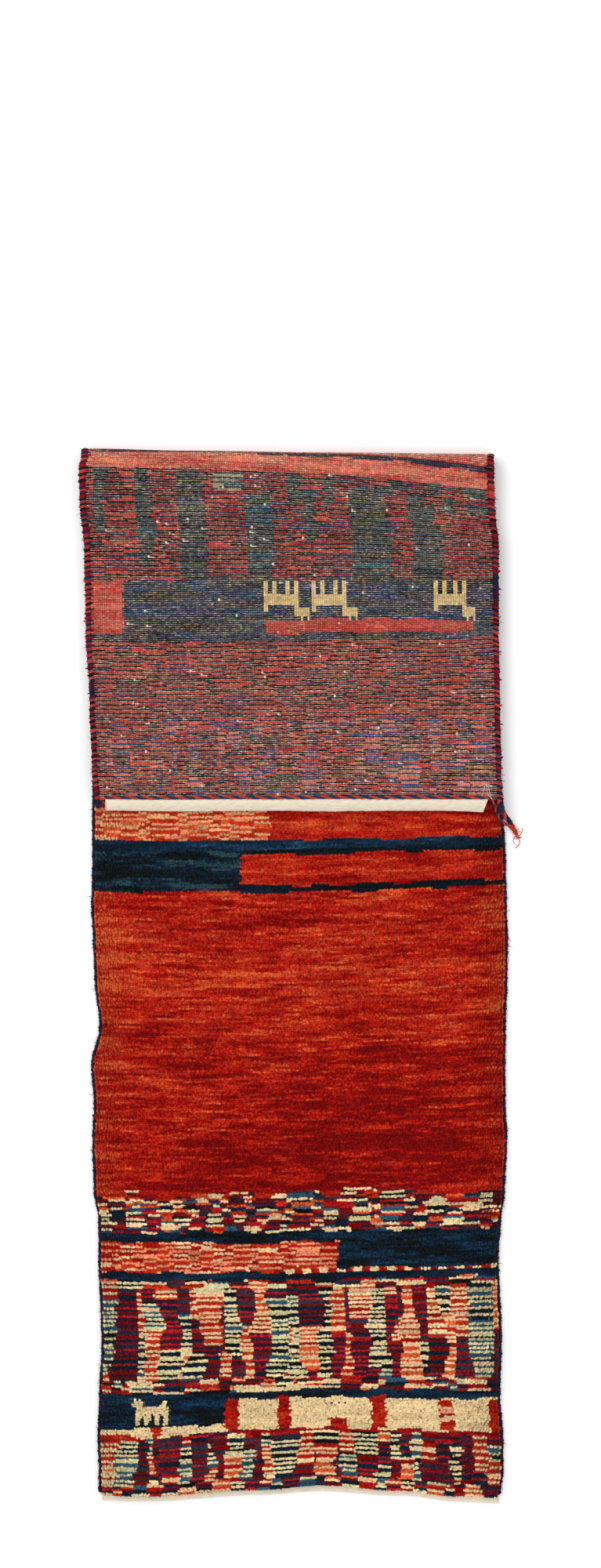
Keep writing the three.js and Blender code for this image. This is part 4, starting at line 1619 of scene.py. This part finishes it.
    def build_edges(self, material: bpy.types.Material) -> bpy.types.Object:
        """Builds the tufts that face out along both sides and at both ends.

        Args:
            material: Its finish.

        Returns:
            The new object.
        """
        rng = np.random.default_rng(self.edge_seed)
        lines = []
        for depth, out in self.side_rows:
            for side, hand in ((0, -1), (1, 1)):
                row = np.arange(ROWS) + rng.uniform(*self.edge_places, ROWS)
                knot = side * KNOTS - hand * self.side_inset
                lines.append((row, knot, depth, hand * (out + self.side_inset), 0.0))
        for end, way in self.end_rows:
            for depth in self.end_depths:
                knot = (np.arange(NODES) + rng.uniform(*self.edge_places, NODES)) / 2
                lines.append((end, knot, depth, 0.0, way))
        row, knot, depth, out, down = (
            np.concatenate(column) for column in zip(*(np.broadcast_arrays(*x) for x in lines))
        )
        count = len(row)
        reach = rng.uniform(*self.edge_reach, count)
        depth = depth + rng.uniform(*self.edge_depths, count)
        out, down = out * reach, down * reach
        at = row + rng.normal(0, self.edge_shift, count)
        bend = self.edge_shoulder
        root = CLOTH.point(row, knot, depth)
        shoulder = CLOTH.point(at + bend * down, knot + bend * out, depth)
        tip = CLOTH.point(at + down, knot + out, depth - self.edge_rise)
        node = np.clip(2 * (knot + self.edge_colour_out * out), 0, NODES - 1).astype(int)
        wool = self.chart.colour[np.clip(row, 0, ROWS - 1).astype(int), node] * self.edge_tone
        girth = self.edge_girth * rng.uniform(*self.plumpness, count)
        wide = math.ceil(math.sqrt(count))
        number = np.arange(count)
        corner = np.stack([number % wide, number // wide], -1) / wide
        cells = np.concatenate([corner, np.full((count, 2), 1 / wide)], 1)
        draft = Draft("pile_edges")
        self.tufts(draft, (root, shoulder, tip), girth, wool, cells, rng)
        return draft.build(material, "rug_wool")


@dataclass
class Hem:
    """A plain-weave hem at one end of the rug."""

    name: str
    left: float
    right: float
    length: float
    droop: float
    on_flap: bool
    thick: float = 3.0
    step_down: float = 0.6
    tuck: float = 3.0
    columns: int = 110
    rows: int = 14
    # brightening of the hem's colour, as painted light
    lift: float = 1.0
    ragged: float = 0.35
    wave: float = 37.0
    slant: float = 0.0
    corner: float = 30.0
    cut: float = 0.0
    seed: int = 29
    ripple: float = 0.12
    rounding: float = 0.5
    floor_gap: float = 0.05
    tone_change: float = 0.05
    # darkening of the hem's colour towards its free end
    free_end_darkening: float = 0.06
    thread: tuple[float, float] = (1.7, 1.1)

    def wall(self, first: Array, step: int, size: int) -> Array:
        """Faces that join the hem's top, of so many points, to its underside."""
        return np.stack([first, first + step, first + step + size, first + size], -1)

    def build(self, material: bpy.types.Material) -> bpy.types.Object:
        """Builds the hem as a thin closed band with a slightly ragged edge.

        Args:
            material: Its finish.

        Returns:
            The new object.
        """
        rng = np.random.default_rng(self.seed)
        x = np.linspace(self.left, self.right, self.columns + 1)
        share = np.linspace(0, 1, self.rows + 1)
        run = -self.tuck + (self.length + self.tuck) * share[:, None]
        edge = (rng.normal(0, self.ragged, len(x)) + np.sin(x / self.wave)) / 2
        edge += self.slant * np.clip((x - self.right) / self.corner + 1, 0, 1)
        run = run + edge[None] * share[:, None] ** 3
        if self.on_flap:
            start, below = np.full(len(x), FLAP_END), np.clip(run / self.length, 0, 1) ** 2
            base = CLOTH.flap_back(x, start)[None] - self.step_down - self.droop * below
        else:
            start = look_up(LOWER_END, x, 1)
            base = np.full(run.shape, self.thick)
        y = start[None] - run
        ripple = self.ripple * rng.normal(0, 1, run.shape)
        ripple[0] = 0
        across = x[None] - self.cut * share[:, None] * np.linspace(0, 1, len(x))[None] ** 8
        top = np.stack([across, y, base + ripple * share[:, None]], -1)
        bottom = top.copy()
        round_off = self.rounding * (share[:, None] == 1)
        top[..., 2] -= round_off
        gap = 0.0 if self.on_flap else self.floor_gap
        bottom[..., 2] = base - self.thick + gap + round_off
        wide = self.columns + 1
        size = (self.rows + 1) * wide
        grid = grid_faces(self.rows + 1, wide)
        i, j = np.arange(self.columns), np.arange(self.rows) * wide
        faces = [
            grid[:, ::-1],
            grid + size,
            self.wall(i, 1, size)[:, ::-1],
            self.wall(self.rows * wide + i, 1, size),
            self.wall(j, wide, size),
            self.wall(j + self.columns, wide, size)[:, ::-1],
        ]
        points = np.concatenate([top.reshape(-1, 3), bottom.reshape(-1, 3)])
        tone = 1 + self.tone_change * rng.normal(0, 1, (len(points), 1))
        # the colour grows darker towards the hem's free end
        toward_free_end = np.concatenate([np.repeat(share, wide)] * 2)[:, None]
        # lift brightens the hem's colour as painted light
        colour = Dye.HEM.linear * self.lift * tone * (1 - self.free_end_darkening * toward_free_end)
        weave = points[:, :2] / self.thread
        draft = Draft(self.name)
        draft.add(points, faces, colour, weave=weave)
        return draft.build(material, "rug_wool")


@dataclass(frozen=True)
class Stitch:
    """A kind of loose stitch at a selvedge, by the four stops of its path."""

    root: float  # half widths of the edge from its outer side
    reach: tuple[float, float, float, float]
    lengths: tuple[float, float]
    depths: tuple[float, float, float, float]
    likely: float
    thick: float
    column: float  # place on the bake's map


STITCHES = (
    Stitch(1.5, (0, 0.4, 0.8, 1.0), (2, 7.5), (0.2, -0.4, -0.3, 0.5), 0.8, 1.1, 0.81),
    Stitch(1.0, (0, -0.5, -0.9, -1.1), (4.5, 7.5), (0.4, 0.6, 1.6, 3.0), 0.16, 1.3, 0.855),
)


@dataclass
class Selvedge:
    """An overcast side of the rug, wrapped in red and dark blue wool by turns."""

    name: str
    hand: int
    seed: int
    wrap: float = 4.24
    height: float = 6.4
    slant: float = 1.3
    sides: int = 10
    groove: float = 0.76
    after: tuple[tuple[float, ...], ...] = ()
    after_rings: int = 12
    plies: tuple[Dye, ...] = ()
    twists: float = 1.0
    bare_run: float = 12.0
    fuzz: int = 150
    start_gap: float = 1.2
    lengths: tuple[float, float] = (0.6, 1.4)
    fullness: tuple[float, float] = (0.82, 1.1)
    end_fullness: float = 0.7
    inset: float = 0.25
    waver: float = 0.3
    floor_gap: float = 0.02
    # painted shade in the groove between wraps and painted highlight on their crests, ring by ring
    wrap_painted_shading: tuple[float, float, float] = (0.8, 1.08, 0.94)
    patch: int = 14
    dark_above: float = 0.78
    dark_under: float = 0.7
    double_red: tuple[float, float] = (0.05, 0.3)
    dark_share: float = 0.8
    tones: tuple[float, float] = (0.8, 1.2)
    ply_swing: float = 0.42
    ply_half: tuple[float, float] = (0.62, 0.6)
    ply_swell: tuple[float, float] = (0.94, 1.06)
    ply_tip: tuple[float, float] = (0.3, 9.0)
    stitch_drift: float = 1.6
    stitch_swell: tuple[float, float] = (0.75, 1.15)
    stitch_taper: tuple[float, float, float, float] = (0.9, 1.0, 0.85, 0.3)
    stitch_tones: tuple[float, float] = (0.85, 1.2)
    fuzz_dyes: tuple[Dye, ...] = (Dye.NAVY, Dye.BACK_BLACK, Dye.PLUM, Dye.BACK_BRICK)
    # shortest, longest and half thickness of single fibres and of small bundles
    fibre: tuple[float, float, float] = (2.5, 5.0, 0.24)
    bundle: tuple[float, float, float] = (4.0, 8.5, 0.42)
    bundles: float = 0.25
    fibre_root: float = 0.7
    fibre_floor: float = 0.6
    fibre_taper: float = 0.6
    fibre_columns: int = 6
    fibre_spread: tuple[float, float, float] = (0.7, 0.9, 0.15)

    def wrap_colours(self, count: int, lower: Array) -> Array:
        """Picks the wool of each wrap.

        Args:
            count: How many wraps.
            lower: Share of dark wool that each wrap's stretch has beyond the usual.

        Returns:
            A colour for each wrap.
        """
        rng = np.random.default_rng(self.seed)
        reds = np.array([Dye.BACK_RED.linear, Dye.BACK_BRICK.linear, Dye.MAROON.linear])
        darks = np.array([Dye.BACK_BLACK.linear, Dye.PLUM.linear, Dye.BACK_NAVY.linear])
        darks[1:] *= self.dark_share
        number = np.arange(count)
        patches = rng.random(count // self.patch + 2)
        patch = np.interp(number, self.patch * np.arange(len(patches)), patches)
        red = (number % 2 == 0) & (patch + lower < self.dark_above)
        red |= (patch < self.double_red[0]) & (lower < self.double_red[1])
        pick = rng.integers(0, 3, count)
        tone = rng.uniform(*self.tones, (count, 1))
        return np.where(red[:, None], reds[pick], darks[pick]) * tone

    def build(self, material: bpy.types.Material, node: str) -> bpy.types.Object:
        """Builds the wrapped edge, and what follows it at the flap's corner.

        Args:
            material: Its finish.
            node: The solid that it stands for.

        Returns:
            The new object.
        """
        start = float(CLOTH.run_of(0, self.hand)) + self.start_gap
        stop = float(CLOTH.run_of(ROWS, self.hand))
        wraps = int((stop - start) / self.wrap)
        count = 3 * wraps + 1
        rng = np.random.default_rng(self.seed + 3)
        turns = np.concatenate([[0], np.cumsum(rng.uniform(*self.lengths, wraps))])
        turns = start + (stop - start) * turns / turns[-1]
        run = np.interp(np.arange(count) / 3, np.arange(wraps + 1), turns)
        half = CLOTH.edge_width(run)
        rise = self.height / 2
        fullness = np.repeat(rng.uniform(*self.fullness, wraps + 1), 3)[:count]
        bulge = np.where(np.arange(count) % 3 == 0, self.groove, fullness)
        bulge[[0, -1]] = self.end_fullness
        angle = 2 * np.pi * (np.arange(self.sides) + 0.5) / self.sides
        tilted = run[:, None] + self.hand * self.slant * np.cos(angle)[None]
        tilted = np.clip(tilted, start, stop)
        middle = CLOTH.side(self.hand, run) - self.hand * (half + self.inset)
        middle += np.repeat(rng.normal(0, self.waver, wraps + 1), 3)[:count]
        x = middle[:, None] + (half * bulge)[:, None] * np.cos(angle)[None]
        out = (rise * bulge)[:, None] * np.sin(angle)[None]
        depth = rise - CLOTH.edge_proud(run)[:, None] - out
        depth = np.where(run[:, None] < 0, np.maximum(depth, self.floor_gap), depth)
        points = CLOTH.spot(tilted, x, depth)
        wool = self.wrap_colours(wraps, np.where(turns[:-1] < 0, self.dark_under, 0.0))
        # painted shade in each wrap's groove, painted highlight on its crest
        tone = np.array(self.wrap_painted_shading)[np.arange(count - 1) % 3]
        colour = np.repeat(wool, 3, axis=0) * tone[:, None]
        faces = tube_faces(count, self.sides)
        colour = np.repeat(colour, self.sides, axis=0)
        ends = np.broadcast_to(wool[0], (len(faces[1]), 3))
        draft = Draft(self.name)
        # On the bake's map the wraps lie left of 0.8, and plies, stitches and fibres right of it
        chart = tube_chart(count, self.sides, 4) * [0.8, 1]
        draft.add(points, faces, np.concatenate([colour, ends]), chart=chart)
        if self.after:
            self.add_end(draft, points[-1].mean(0), float(half[-1]), rise)
        self.add_stitches(draft, turns, wool)
        self.add_fuzz(draft, run, middle, half)
        made = draft.build(material, "selvedge_wool")
        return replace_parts(made, node)

    def add_end(self, draft: Draft, begin: Array, half: float, rise: float) -> None:
        """Adds the twisted plies that the edge ends in, beyond the flap's corner.

        Args:
            draft: The mesh they go into.
            begin: Where the edge ends.
            half: Half the edge's width there.
            rise: Half its height there.
        """
        rings, count = self.after_rings, len(self.plies)
        line = smooth_path([(*begin, half, rise), *self.after], rings)
        middle, wide, tall = line[:, :3], line[:, 3], line[:, 4]
        rng = np.random.default_rng(self.seed + 1)
        share = np.linspace(0, 1, rings)
        for number, dye in enumerate(self.plies):
            phase = 2 * np.pi * (self.twists * share + number / count)
            tip = np.minimum(1, self.ply_tip[0] + self.ply_tip[1] * (1 - share))
            swell = rng.uniform(*self.ply_swell, rings) * tip
            ply = wound(middle, phase, self.ply_swing * wide, self.ply_swing * tall)
            size = self.ply_half[0] * wide * swell, self.ply_half[1] * tall * swell
            tone = rng.uniform(*self.tones, (rings, 1))
            colour = np.repeat(dye.linear * tone, self.sides, axis=0)
            chart = tube_chart(rings, self.sides, 1) * [0.09, 0.4 / count]
            chart = chart + [0.81, 0.4 * number / count]
            draft.add(tube(ply, *size, self.sides), tube_faces(rings, self.sides), colour, chart=chart)

    def add_stitches(self, draft: Draft, turns: Array, wool: Array) -> None:
        """Adds the stitches that reach in over the flap's back, and loose loops outside.

        Args:
            draft: The mesh they go into.
            turns: Runs where the wraps start.
            wool: Colours of the wraps.
        """
        rng = np.random.default_rng(self.seed + 4)
        for number, k in enumerate(np.flatnonzero(turns[:-1] > self.bare_run)):
            run = turns[k] + self.wrap / 2
            width = float(CLOTH.edge_width(run))
            edge = float(CLOTH.side(self.hand, run))
            lengths = [rng.uniform(*stitch.lengths) for stitch in STITCHES]
            for stitch, length in zip(STITCHES, lengths):
                if rng.random() > stitch.likely:
                    continue
                x = edge - self.hand * (stitch.root * width + np.array(stitch.reach) * length)
                drift = run + np.linspace(0, rng.normal(0, self.stitch_drift), 4)
                path = CLOTH.spot(drift, x, stitch.depths)
                size = stitch.thick * rng.uniform(*self.stitch_swell) * np.array(self.stitch_taper)
                chart = tube_chart(4, 5, 1) * [0.04, 0.55 / len(turns)]
                chart = chart + [stitch.column, 0.42 + 0.57 * number / len(turns)]
                tone = wool[k] * rng.uniform(*self.stitch_tones)
                draft.add(tube(path, size, size, 5), tube_faces(4, 5), tone, chart=chart)

    def add_fuzz(self, draft: Draft, run: Array, middle: Array, half: Array) -> None:
        """Adds stray fibres that stand out from the wraps.

        Args:
            draft: The mesh they go into.
            run: Runs of the edge's rings.
            middle: Place across of the edge's middle at each.
            half: Half its width at each.
        """
        rng = np.random.default_rng(self.seed + 2)
        pick = rng.integers(3, len(run) - 3, self.fuzz)
        bundled = rng.random(self.fuzz) < self.bundles
        t = np.linspace(0, 1, 5)
        turn_by, curl_by, rise_by = self.fibre_spread
        for number, i in enumerate(pick):
            shortest, longest, thick = self.bundle if bundled[number] else self.fibre
            depth = self.height / 2 - CLOTH.edge_proud(run[i])
            root = CLOTH.spot(run[i], middle[i] + self.hand * self.fibre_root * half[i], depth)
            heading = rng.normal(0, turn_by)
            long = rng.uniform(shortest, longest)
            turn = heading + rng.normal(0, curl_by) * t
            rise = rng.normal(0, rise_by) + 0 * t
            steps = np.stack([self.hand * np.cos(turn), np.sin(turn), rise], -1)
            path = root + np.cumsum(steps, 0) * long / len(t) * (t > 0)[:, None]
            path[:, 2] = np.maximum(path[:, 2], self.fibre_floor)
            thick = thick * (1 - self.fibre_taper * t)
            wool = self.fuzz_dyes[rng.integers(0, len(self.fuzz_dyes))]
            row, column = divmod(number, self.fibre_columns)
            at = [0.9 + 0.1 * column / self.fibre_columns, row * self.fibre_columns / self.fuzz]
            chart = tube_chart(5, 3, 1) * [0.012, 5 / self.fuzz] + at
            draft.add(tube(path, thick, thick, 3), tube_faces(5, 3), wool.linear, chart=chart)


@dataclass
class Twining:
    """The two-ply line of red and dark blue between the knots and the hem of the flap."""

    left: float = -300.0
    right: float = 284.0
    along: float = 280.2
    pitch: float = 25.0
    ply: float = 1.75
    ply_rise: float = 1.15
    swing: float = 1.25
    lift: float = 0.55
    step: float = 1.9
    sides: int = 7
    seed: int = 31
    seat: float = 1.45
    wave: tuple[float, float] = (0.35, 29.0)
    free_rings: int = 45
    free_size: float = 0.72
    free_pitch: float = 0.55
    breath: float = 0.12
    swell: tuple[float, float] = (0.93, 1.07)
    tone_change: float = 0.1
    free: tuple[tuple[float, float, float], ...] = (
        (291.0, 279.5, 30.9),
        (296.5, 276.8, 31.0),
        (300.4, 272.0, 29.6),
        (302.8, 266.0, 25.8),
        (305.0, 258.0, 21.0),
        (309.0, 249.5, 18.1),
        (315.0, 242.0, 17.4),
        (321.0, 236.4, 16.6),
    )

    def build(self, material: bpy.types.Material) -> bpy.types.Object:
        """Builds the twined line and its free end.

        Args:
            material: Its finish.

        Returns:
            The new object, which stands for the twining's solid.
        """
        count = int((self.right - self.left) / self.step)
        x = np.linspace(self.left, self.right, count)
        y = self.along + self.wave[0] * np.sin(x / self.wave[1])
        laid = np.stack([x, y, CLOTH.flap_back(x, y) + self.seat], -1)
        loose = smooth_path([tuple(laid[-1]), *self.free], self.free_rings + 1)[1:]
        path = np.concatenate([laid, loose])
        on_rug = np.arange(len(path)) < count
        tight = np.where(on_rug, 1.0, self.free_size)
        pitch = self.pitch * np.where(on_rug, 1.0, self.free_pitch)
        turned = np.cumsum(np.gradient(lengths_along(path)) / pitch) * 2 * np.pi
        draft = Draft("twining_plies")
        rng = np.random.default_rng(self.seed)
        for number, dye in enumerate((Dye.BLUE, Dye.BACK_RED)):
            phase = turned + np.pi * number
            ply = wound(path, phase, self.swing * tight, self.lift * tight)
            swell = tight * (1 + self.breath * np.sin(phase)) * rng.uniform(*self.swell, len(path))
            rings = tube(ply, self.ply * swell, self.ply_rise * swell, self.sides)
            tone = 1 + self.tone_change * rng.normal(0, 1, (len(path), 1))
            colour = np.repeat(dye.linear * tone, self.sides, axis=0)
            chart = tube_chart(len(path), self.sides, 4) * [0.5, 1] + [0.5 * number, 0]
            draft.add(rings, tube_faces(len(path), self.sides), colour, chart=chart)
        made = draft.build(material, "twining_wool")
        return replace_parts(made, "twining")


@dataclass
class YarnEnds:
    """The frayed red yarns at the end of the loose selvedge, lying on the floor."""

    stem: tuple[tuple[float, ...], ...] = (
        (329.5, 238.5, 12.9, 2.6),
        (332.0, 235.9, 10.6, 2.5),
        (334.6, 231.4, 5.8, 2.3),
        (337.2, 224.6, 2.8, 2.2),
        (339.4, 217.5, 2.7, 2.3),
    )
    # from: share of the stem; heading and turn in degrees; length and thickness in mm
    strands: tuple[tuple[float, float, float, float, float], ...] = (
        (0.97, 30, 62, 17, 1.4),
        (0.8, 62, -50, 7, 1.2),
        (1.0, -15, 30, 6, 2.0),
        (1.0, -40, -125, 20, 1.4),
        (1.0, -100, -190, 10, 1.2),
        (0.86, -165, 150, 22, 1.2),
        (0.5, -132, 60, 11, 1.2),
        (0.62, 12, 40, 7, 1.0),
    )
    feeders: tuple[tuple[tuple[float, float, float], ...], ...] = (
        ((317.2, 242.8, 16.4), (323.0, 238.0, 14.8), (330.5, 232.0, 9.0), (336.0, 224.5, 3.9)),
        ((319.2, 240.4, 15.9), (325.5, 234.0, 12.4), (331.6, 227.8, 6.6), (337.6, 219.4, 3.0)),
        ((322.0, 243.0, 16.8), (328.4, 237.2, 12.4), (334.4, 229.8, 6.2), (340.2, 220.0, 3.2)),
    )
    stem_rings: int = 34
    feeder_rings: int = 24
    # ring of a feeder, then half its thickness there
    feeder_half: tuple[tuple[float, float], ...] = ((0, 0.7), (5, 1.5), (18, 1.4), (23, 0.5))
    plies: int = 3
    steps: int = 26
    seed: int = 37
    taper: float = 0.7
    floor_gap: float = 0.12
    sides: int = 5
    turn_length: float = 7.0  # in half thicknesses
    ply_swing: float = 0.46
    ply_half: float = 0.6
    swell: tuple[float, float] = (0.92, 1.08)
    tone_change: float = 0.08
    dyes: tuple[Dye, ...] = (Dye.BACK_RED, Dye.FLAME, Dye.BACK_SALMON)

    def build(self, material: bpy.types.Material) -> bpy.types.Object:
        """Builds the twisted stem and its curling strands.

        Args:
            material: Its finish.

        Returns:
            The new object, which stands for the yarn ends' solid.
        """
        rng = np.random.default_rng(self.seed)
        draft = Draft("yarn_strands")
        line = smooth_path(self.stem, self.stem_rings)
        self.add_twist(draft, line[:, :3], line[:, 3], self.plies, rng)
        ring, size = np.array(self.feeder_half).T
        half = np.interp(np.arange(self.feeder_rings), ring, size)
        for stops in self.feeders:
            self.add_twist(draft, smooth_path(stops, self.feeder_rings), half, 2, rng)
        line = smooth_path(self.stem, 101)
        t = np.linspace(0, 1, self.steps)
        for start, heading, turn, length, thick in self.strands:
            root = line[int(100 * start), :3]
            way = np.radians(heading + turn * t)
            steps = length / (self.steps - 1) * np.stack([np.cos(way), np.sin(way)], -1)
            place = root[:2] + np.cumsum(steps, 0) - steps[0]
            half = thick / 2 * mixed(1, self.taper, t)
            height = mixed(root[2], half + self.floor_gap, eased(3 * t))
            path = np.concatenate([place, height[:, None]], 1)
            self.add_twist(draft, path, half, 2, rng)
        made = draft.build(material, "yarn_red")
        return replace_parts(made, "yarn_ends")

    def add_twist(
        self, draft: Draft, path: Array, half: Array, plies: int, rng: np.random.Generator
    ) -> None:
        """Adds a yarn of several plies twisted along a path.

        Args:
            draft: The mesh it goes into.
            path: Its middle line.
            half: Half its thickness along the way.
            plies: How many plies it has.
            rng: Where its small irregularities come from.
        """
        turned = 2 * np.pi * lengths_along(path) / (self.turn_length * half.mean())
        swing = self.ply_swing * half
        for number in range(plies):
            ply = wound(path, turned + 2 * np.pi * number / plies, swing, swing)
            thick = self.ply_half * half * rng.uniform(*self.swell, len(path))
            dye = self.dyes[number % len(self.dyes)]
            tone = 1 + self.tone_change * rng.normal(0, 1, (len(path), 1))
            colour = np.repeat(dye.linear * tone, self.sides, axis=0)
            rings = tube(ply, thick, thick, self.sides)
            draft.add(rings, tube_faces(len(path), self.sides), colour)


@dataclass
class WarpThreads:
    """The thin white warp ends that lie loose on the flap's corner."""

    threads: tuple[tuple[tuple[float, float], ...], ...] = (
        ((286.6, 298.0), (284.0, 288.0), (279.4, 276.3)),
        ((291.5, 297.0), (294.5, 287.0), (296.3, 277.5)),
        ((288.5, 299.0), (292.0, 284.0), (298.5, 277.0)),
    )
    half: float = 0.28
    seat: float = 0.5
    rings: int = 16
    knot: tuple[tuple[float, float, float], ...] = (
        (292.5, 277.5, 30.4),
        (295.5, 278.5, 31.0),
        (298.5, 277.0, 30.2),
    )
    knot_half: tuple[float, ...] = (0.4, 0.9, 1.2, 1.1, 0.8, 1.1, 1.25, 0.9, 0.4)

    def build(self, material: bpy.types.Material) -> bpy.types.Object:
        """Builds the threads and the small white knot between them.

        Args:
            material: Their finish.

        Returns:
            The new object.
        """
        draft = Draft("warp_threads")
        for stops in self.threads:
            path = smooth_path(stops, self.rings)
            height = CLOTH.flap_back(path[:, 0], path[:, 1]) + self.seat
            path = np.concatenate([path, height[:, None]], 1)
            rings = tube(path, self.half, self.half, 5)
            draft.add(rings, tube_faces(self.rings, 5), Dye.WHITE.linear)
        half = np.array(self.knot_half)
        rings = tube(smooth_path(self.knot, len(half)), half, half, 6)
        draft.add(rings, tube_faces(len(half), 6), Dye.WHITE.linear)
        return draft.build(material, "rug_wool")


@dataclass(frozen=True)
class Studio:
    """Pale floor, soft light and the camera straight above the rug."""

    centre: tuple[float, float] = (0.0024, 0.3006)
    seen_length: float = 2.424
    camera_height: float = 5.0
    floor_half: float = 7.0
    floor_shade: float = 0.9
    floor_change: float = 0.01
    floor_patches: float = 2.0
    floor_roughness: float = 0.95
    floor_specular: float = 0.1
    world_strength: float = 0.75
    key_power: float = 55.0
    fill_share: float = 0.5
    key_place: tuple[float, float, float] = (-1.3, 1.6, 2.6)
    fill_place: tuple[float, float, float] = (1.2, -1.2, 3.0)
    lamp_size: float = 2.4
    sensor: float = 36.0
    rug_middle: float = 0.015
    clip_end: float = 50.0

    def floor_material(self) -> bpy.types.Material:
        """Builds the plain pale finish of the floor.

        Returns:
            The material.
        """
        made = bpy.data.materials.new("pale_floor")
        made.use_nodes = True
        tree = made.node_tree
        paint = tree.nodes["Principled BSDF"]
        noise = tree.nodes.new("ShaderNodeTexNoise")
        set_inputs(noise, {"Scale": self.floor_patches})
        change = noise.outputs["Fac"], self.floor_change
        tone = maths(tree, "MULTIPLY_ADD", *change, self.floor_shade)
        wire(tree, tone, paint.inputs["Base Color"])
        finish = {"Roughness": self.floor_roughness, "Specular IOR Level": self.floor_specular}
        set_inputs(paint, finish)
        return made

    def build(self) -> None:
        """Builds floor, lights and camera."""
        far = self.floor_half
        mesh = bpy.data.meshes.new("floor")
        corners = [(-far, -far, 0), (far, -far, 0), (far, far, 0), (-far, far, 0)]
        mesh.from_pydata(corners, [], [(0, 1, 2, 3)])
        mesh.materials.append(self.floor_material())
        placed("floor", mesh)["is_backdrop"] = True
        scene = bpy.context.scene
        scene.world = bpy.data.worlds.new("soft_room")
        scene.world.use_nodes = True
        sky = scene.world.node_tree.nodes["Background"]
        set_inputs(sky, {"Color": (1.0, 1.0, 1.0, 1), "Strength": self.world_strength})
        self.add_light("key_light", self.key_place, self.key_power)
        self.add_light("fill_light", self.fill_place, self.fill_share * self.key_power)
        lens = bpy.data.cameras.new("camera")
        lens.sensor_fit = "AUTO"
        lens.sensor_width = self.sensor
        lens.lens = self.sensor * (self.camera_height - self.rug_middle) / self.seen_length
        lens.clip_end = self.clip_end
        scene.camera = placed("camera", lens)
        scene.camera.location = (*self.centre, self.camera_height)
        scene.view_settings.view_transform = "Standard"

    def add_light(self, name: str, place: tuple[float, float, float], power: float) -> None:
        """Adds a large soft light that faces the rug.

        Args:
            name: Its name.
            place: Where it hangs.
            power: Its power in watts.
        """
        lamp = bpy.data.lights.new(name, "AREA")
        lamp.energy = power
        lamp.size = self.lamp_size
        light = placed(name, lamp)
        light.location = place
        aim = np.array([self.centre[0], 0.0, 0.0]) - place
        light.rotation_euler = (
            math.atan2(math.hypot(aim[0], aim[1]), -aim[2]),
            0,
            math.atan2(aim[1], aim[0]) - math.pi / 2,
        )


KNOT_END = (
    (-311.4, 273.6, 26.0, 5.4, 3.8),
    (-309.8, 270.0, 25.6, 6.0, 4.6),
    (-308.4, 266.6, 25.0, 5.2, 4.0),
    (-307.4, 264.4, 24.6, 3.0, 2.4),
)
TAIL_END = (
    (311.4, 268.0, 25.0, 5.0, 3.3),
    (313.8, 259.5, 22.6, 4.8, 3.5),
    (318.4, 251.0, 20.2, 4.4, 3.6),
    (324.4, 243.8, 17.0, 4.1, 3.6),
    (329.2, 238.8, 13.2, 3.4, 3.2),
)


def main() -> None:
    """Builds the rug piece by piece, then the studio."""
    logging.basicConfig(level=logging.INFO, format="%(name)s: %(message)s")
    groups = {"wool_fibre": wool_fibre_group(), "weave_nodes": weave_node_group()}
    finishes = {
        finish.name: finish.material(groups)
        for finish in (
            WoolFinish("pile_wool", heather=0.45, fibres=1100, bump=0.4),
            WoolFinish("ground_wool", node_painted_shade=0.2, bump_depth=0.0006),
            WoolFinish("woven_back_wool", heather=0.4, node_painted_shade=0.45, bump=0.5, bump_depth=0.0007),
            WoolFinish("overcast_wool", fibres=1400, bump=0.6, bump_depth=0.0006),
            WoolFinish("twined_wool", fibres=1500, bump=0.6),
            WoolFinish("hem_weave", heather=0.12, node_painted_shade=0.12, bump=0.45, bump_depth=0.0004),
            WoolFinish("frayed_wool", fibres=1800, bump=0.5),
        )
    }
    chart = YarnChart()
    studio = Studio()
    studio.build()
    foundation = Foundation(chart).build(finishes["ground_wool"])
    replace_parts(foundation, "rug")
    back = WovenBack(chart).build(finishes["woven_back_wool"])
    pile = Pile(chart)
    carried = [back, *pile.build(finishes["pile_wool"]), pile.build_edges(finishes["pile_wool"])]
    for hem in (
        Hem("hem_flap", -298.8, 292.8, 17.5, 8.0, True, slant=1.6, cut=8.0, seed=23),
        # the lower hem's colour is lifted as painted light against the shade that it lies in
        Hem("hem_lower", -304.8, 309.7, 11.3, 0.0, False, lift=1.15),
    ):
        carried.append(hem.build(finishes["hem_weave"]))
    for edge in (
        Selvedge("overcast_left", -1, 51, after=KNOT_END, after_rings=14,
                 plies=(Dye.NAVY, Dye.BACK_BLACK, Dye.PLUM), twists=0.6),
        Selvedge("overcast_right", 1, 61, after=TAIL_END, after_rings=46,
                 plies=(Dye.NAVY, Dye.BACK_RED, Dye.SLATE, Dye.BACK_NAVY), twists=1.7),
    ):
        node = "selvedge_left" if edge.hand < 0 else "selvedge_right"
        edge.build(finishes["overcast_wool"], node)
    Twining().build(finishes["twined_wool"])
    YarnEnds().build(finishes["frayed_wool"])
    carried.append(WarpThreads().build(finishes["hem_weave"]))
    boxes = {"cad": cad_box, "visual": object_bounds()}
    {name: [list(corner) for corner in box] for name, box in boxes.items()}


if __name__ == "__main__":
    main()
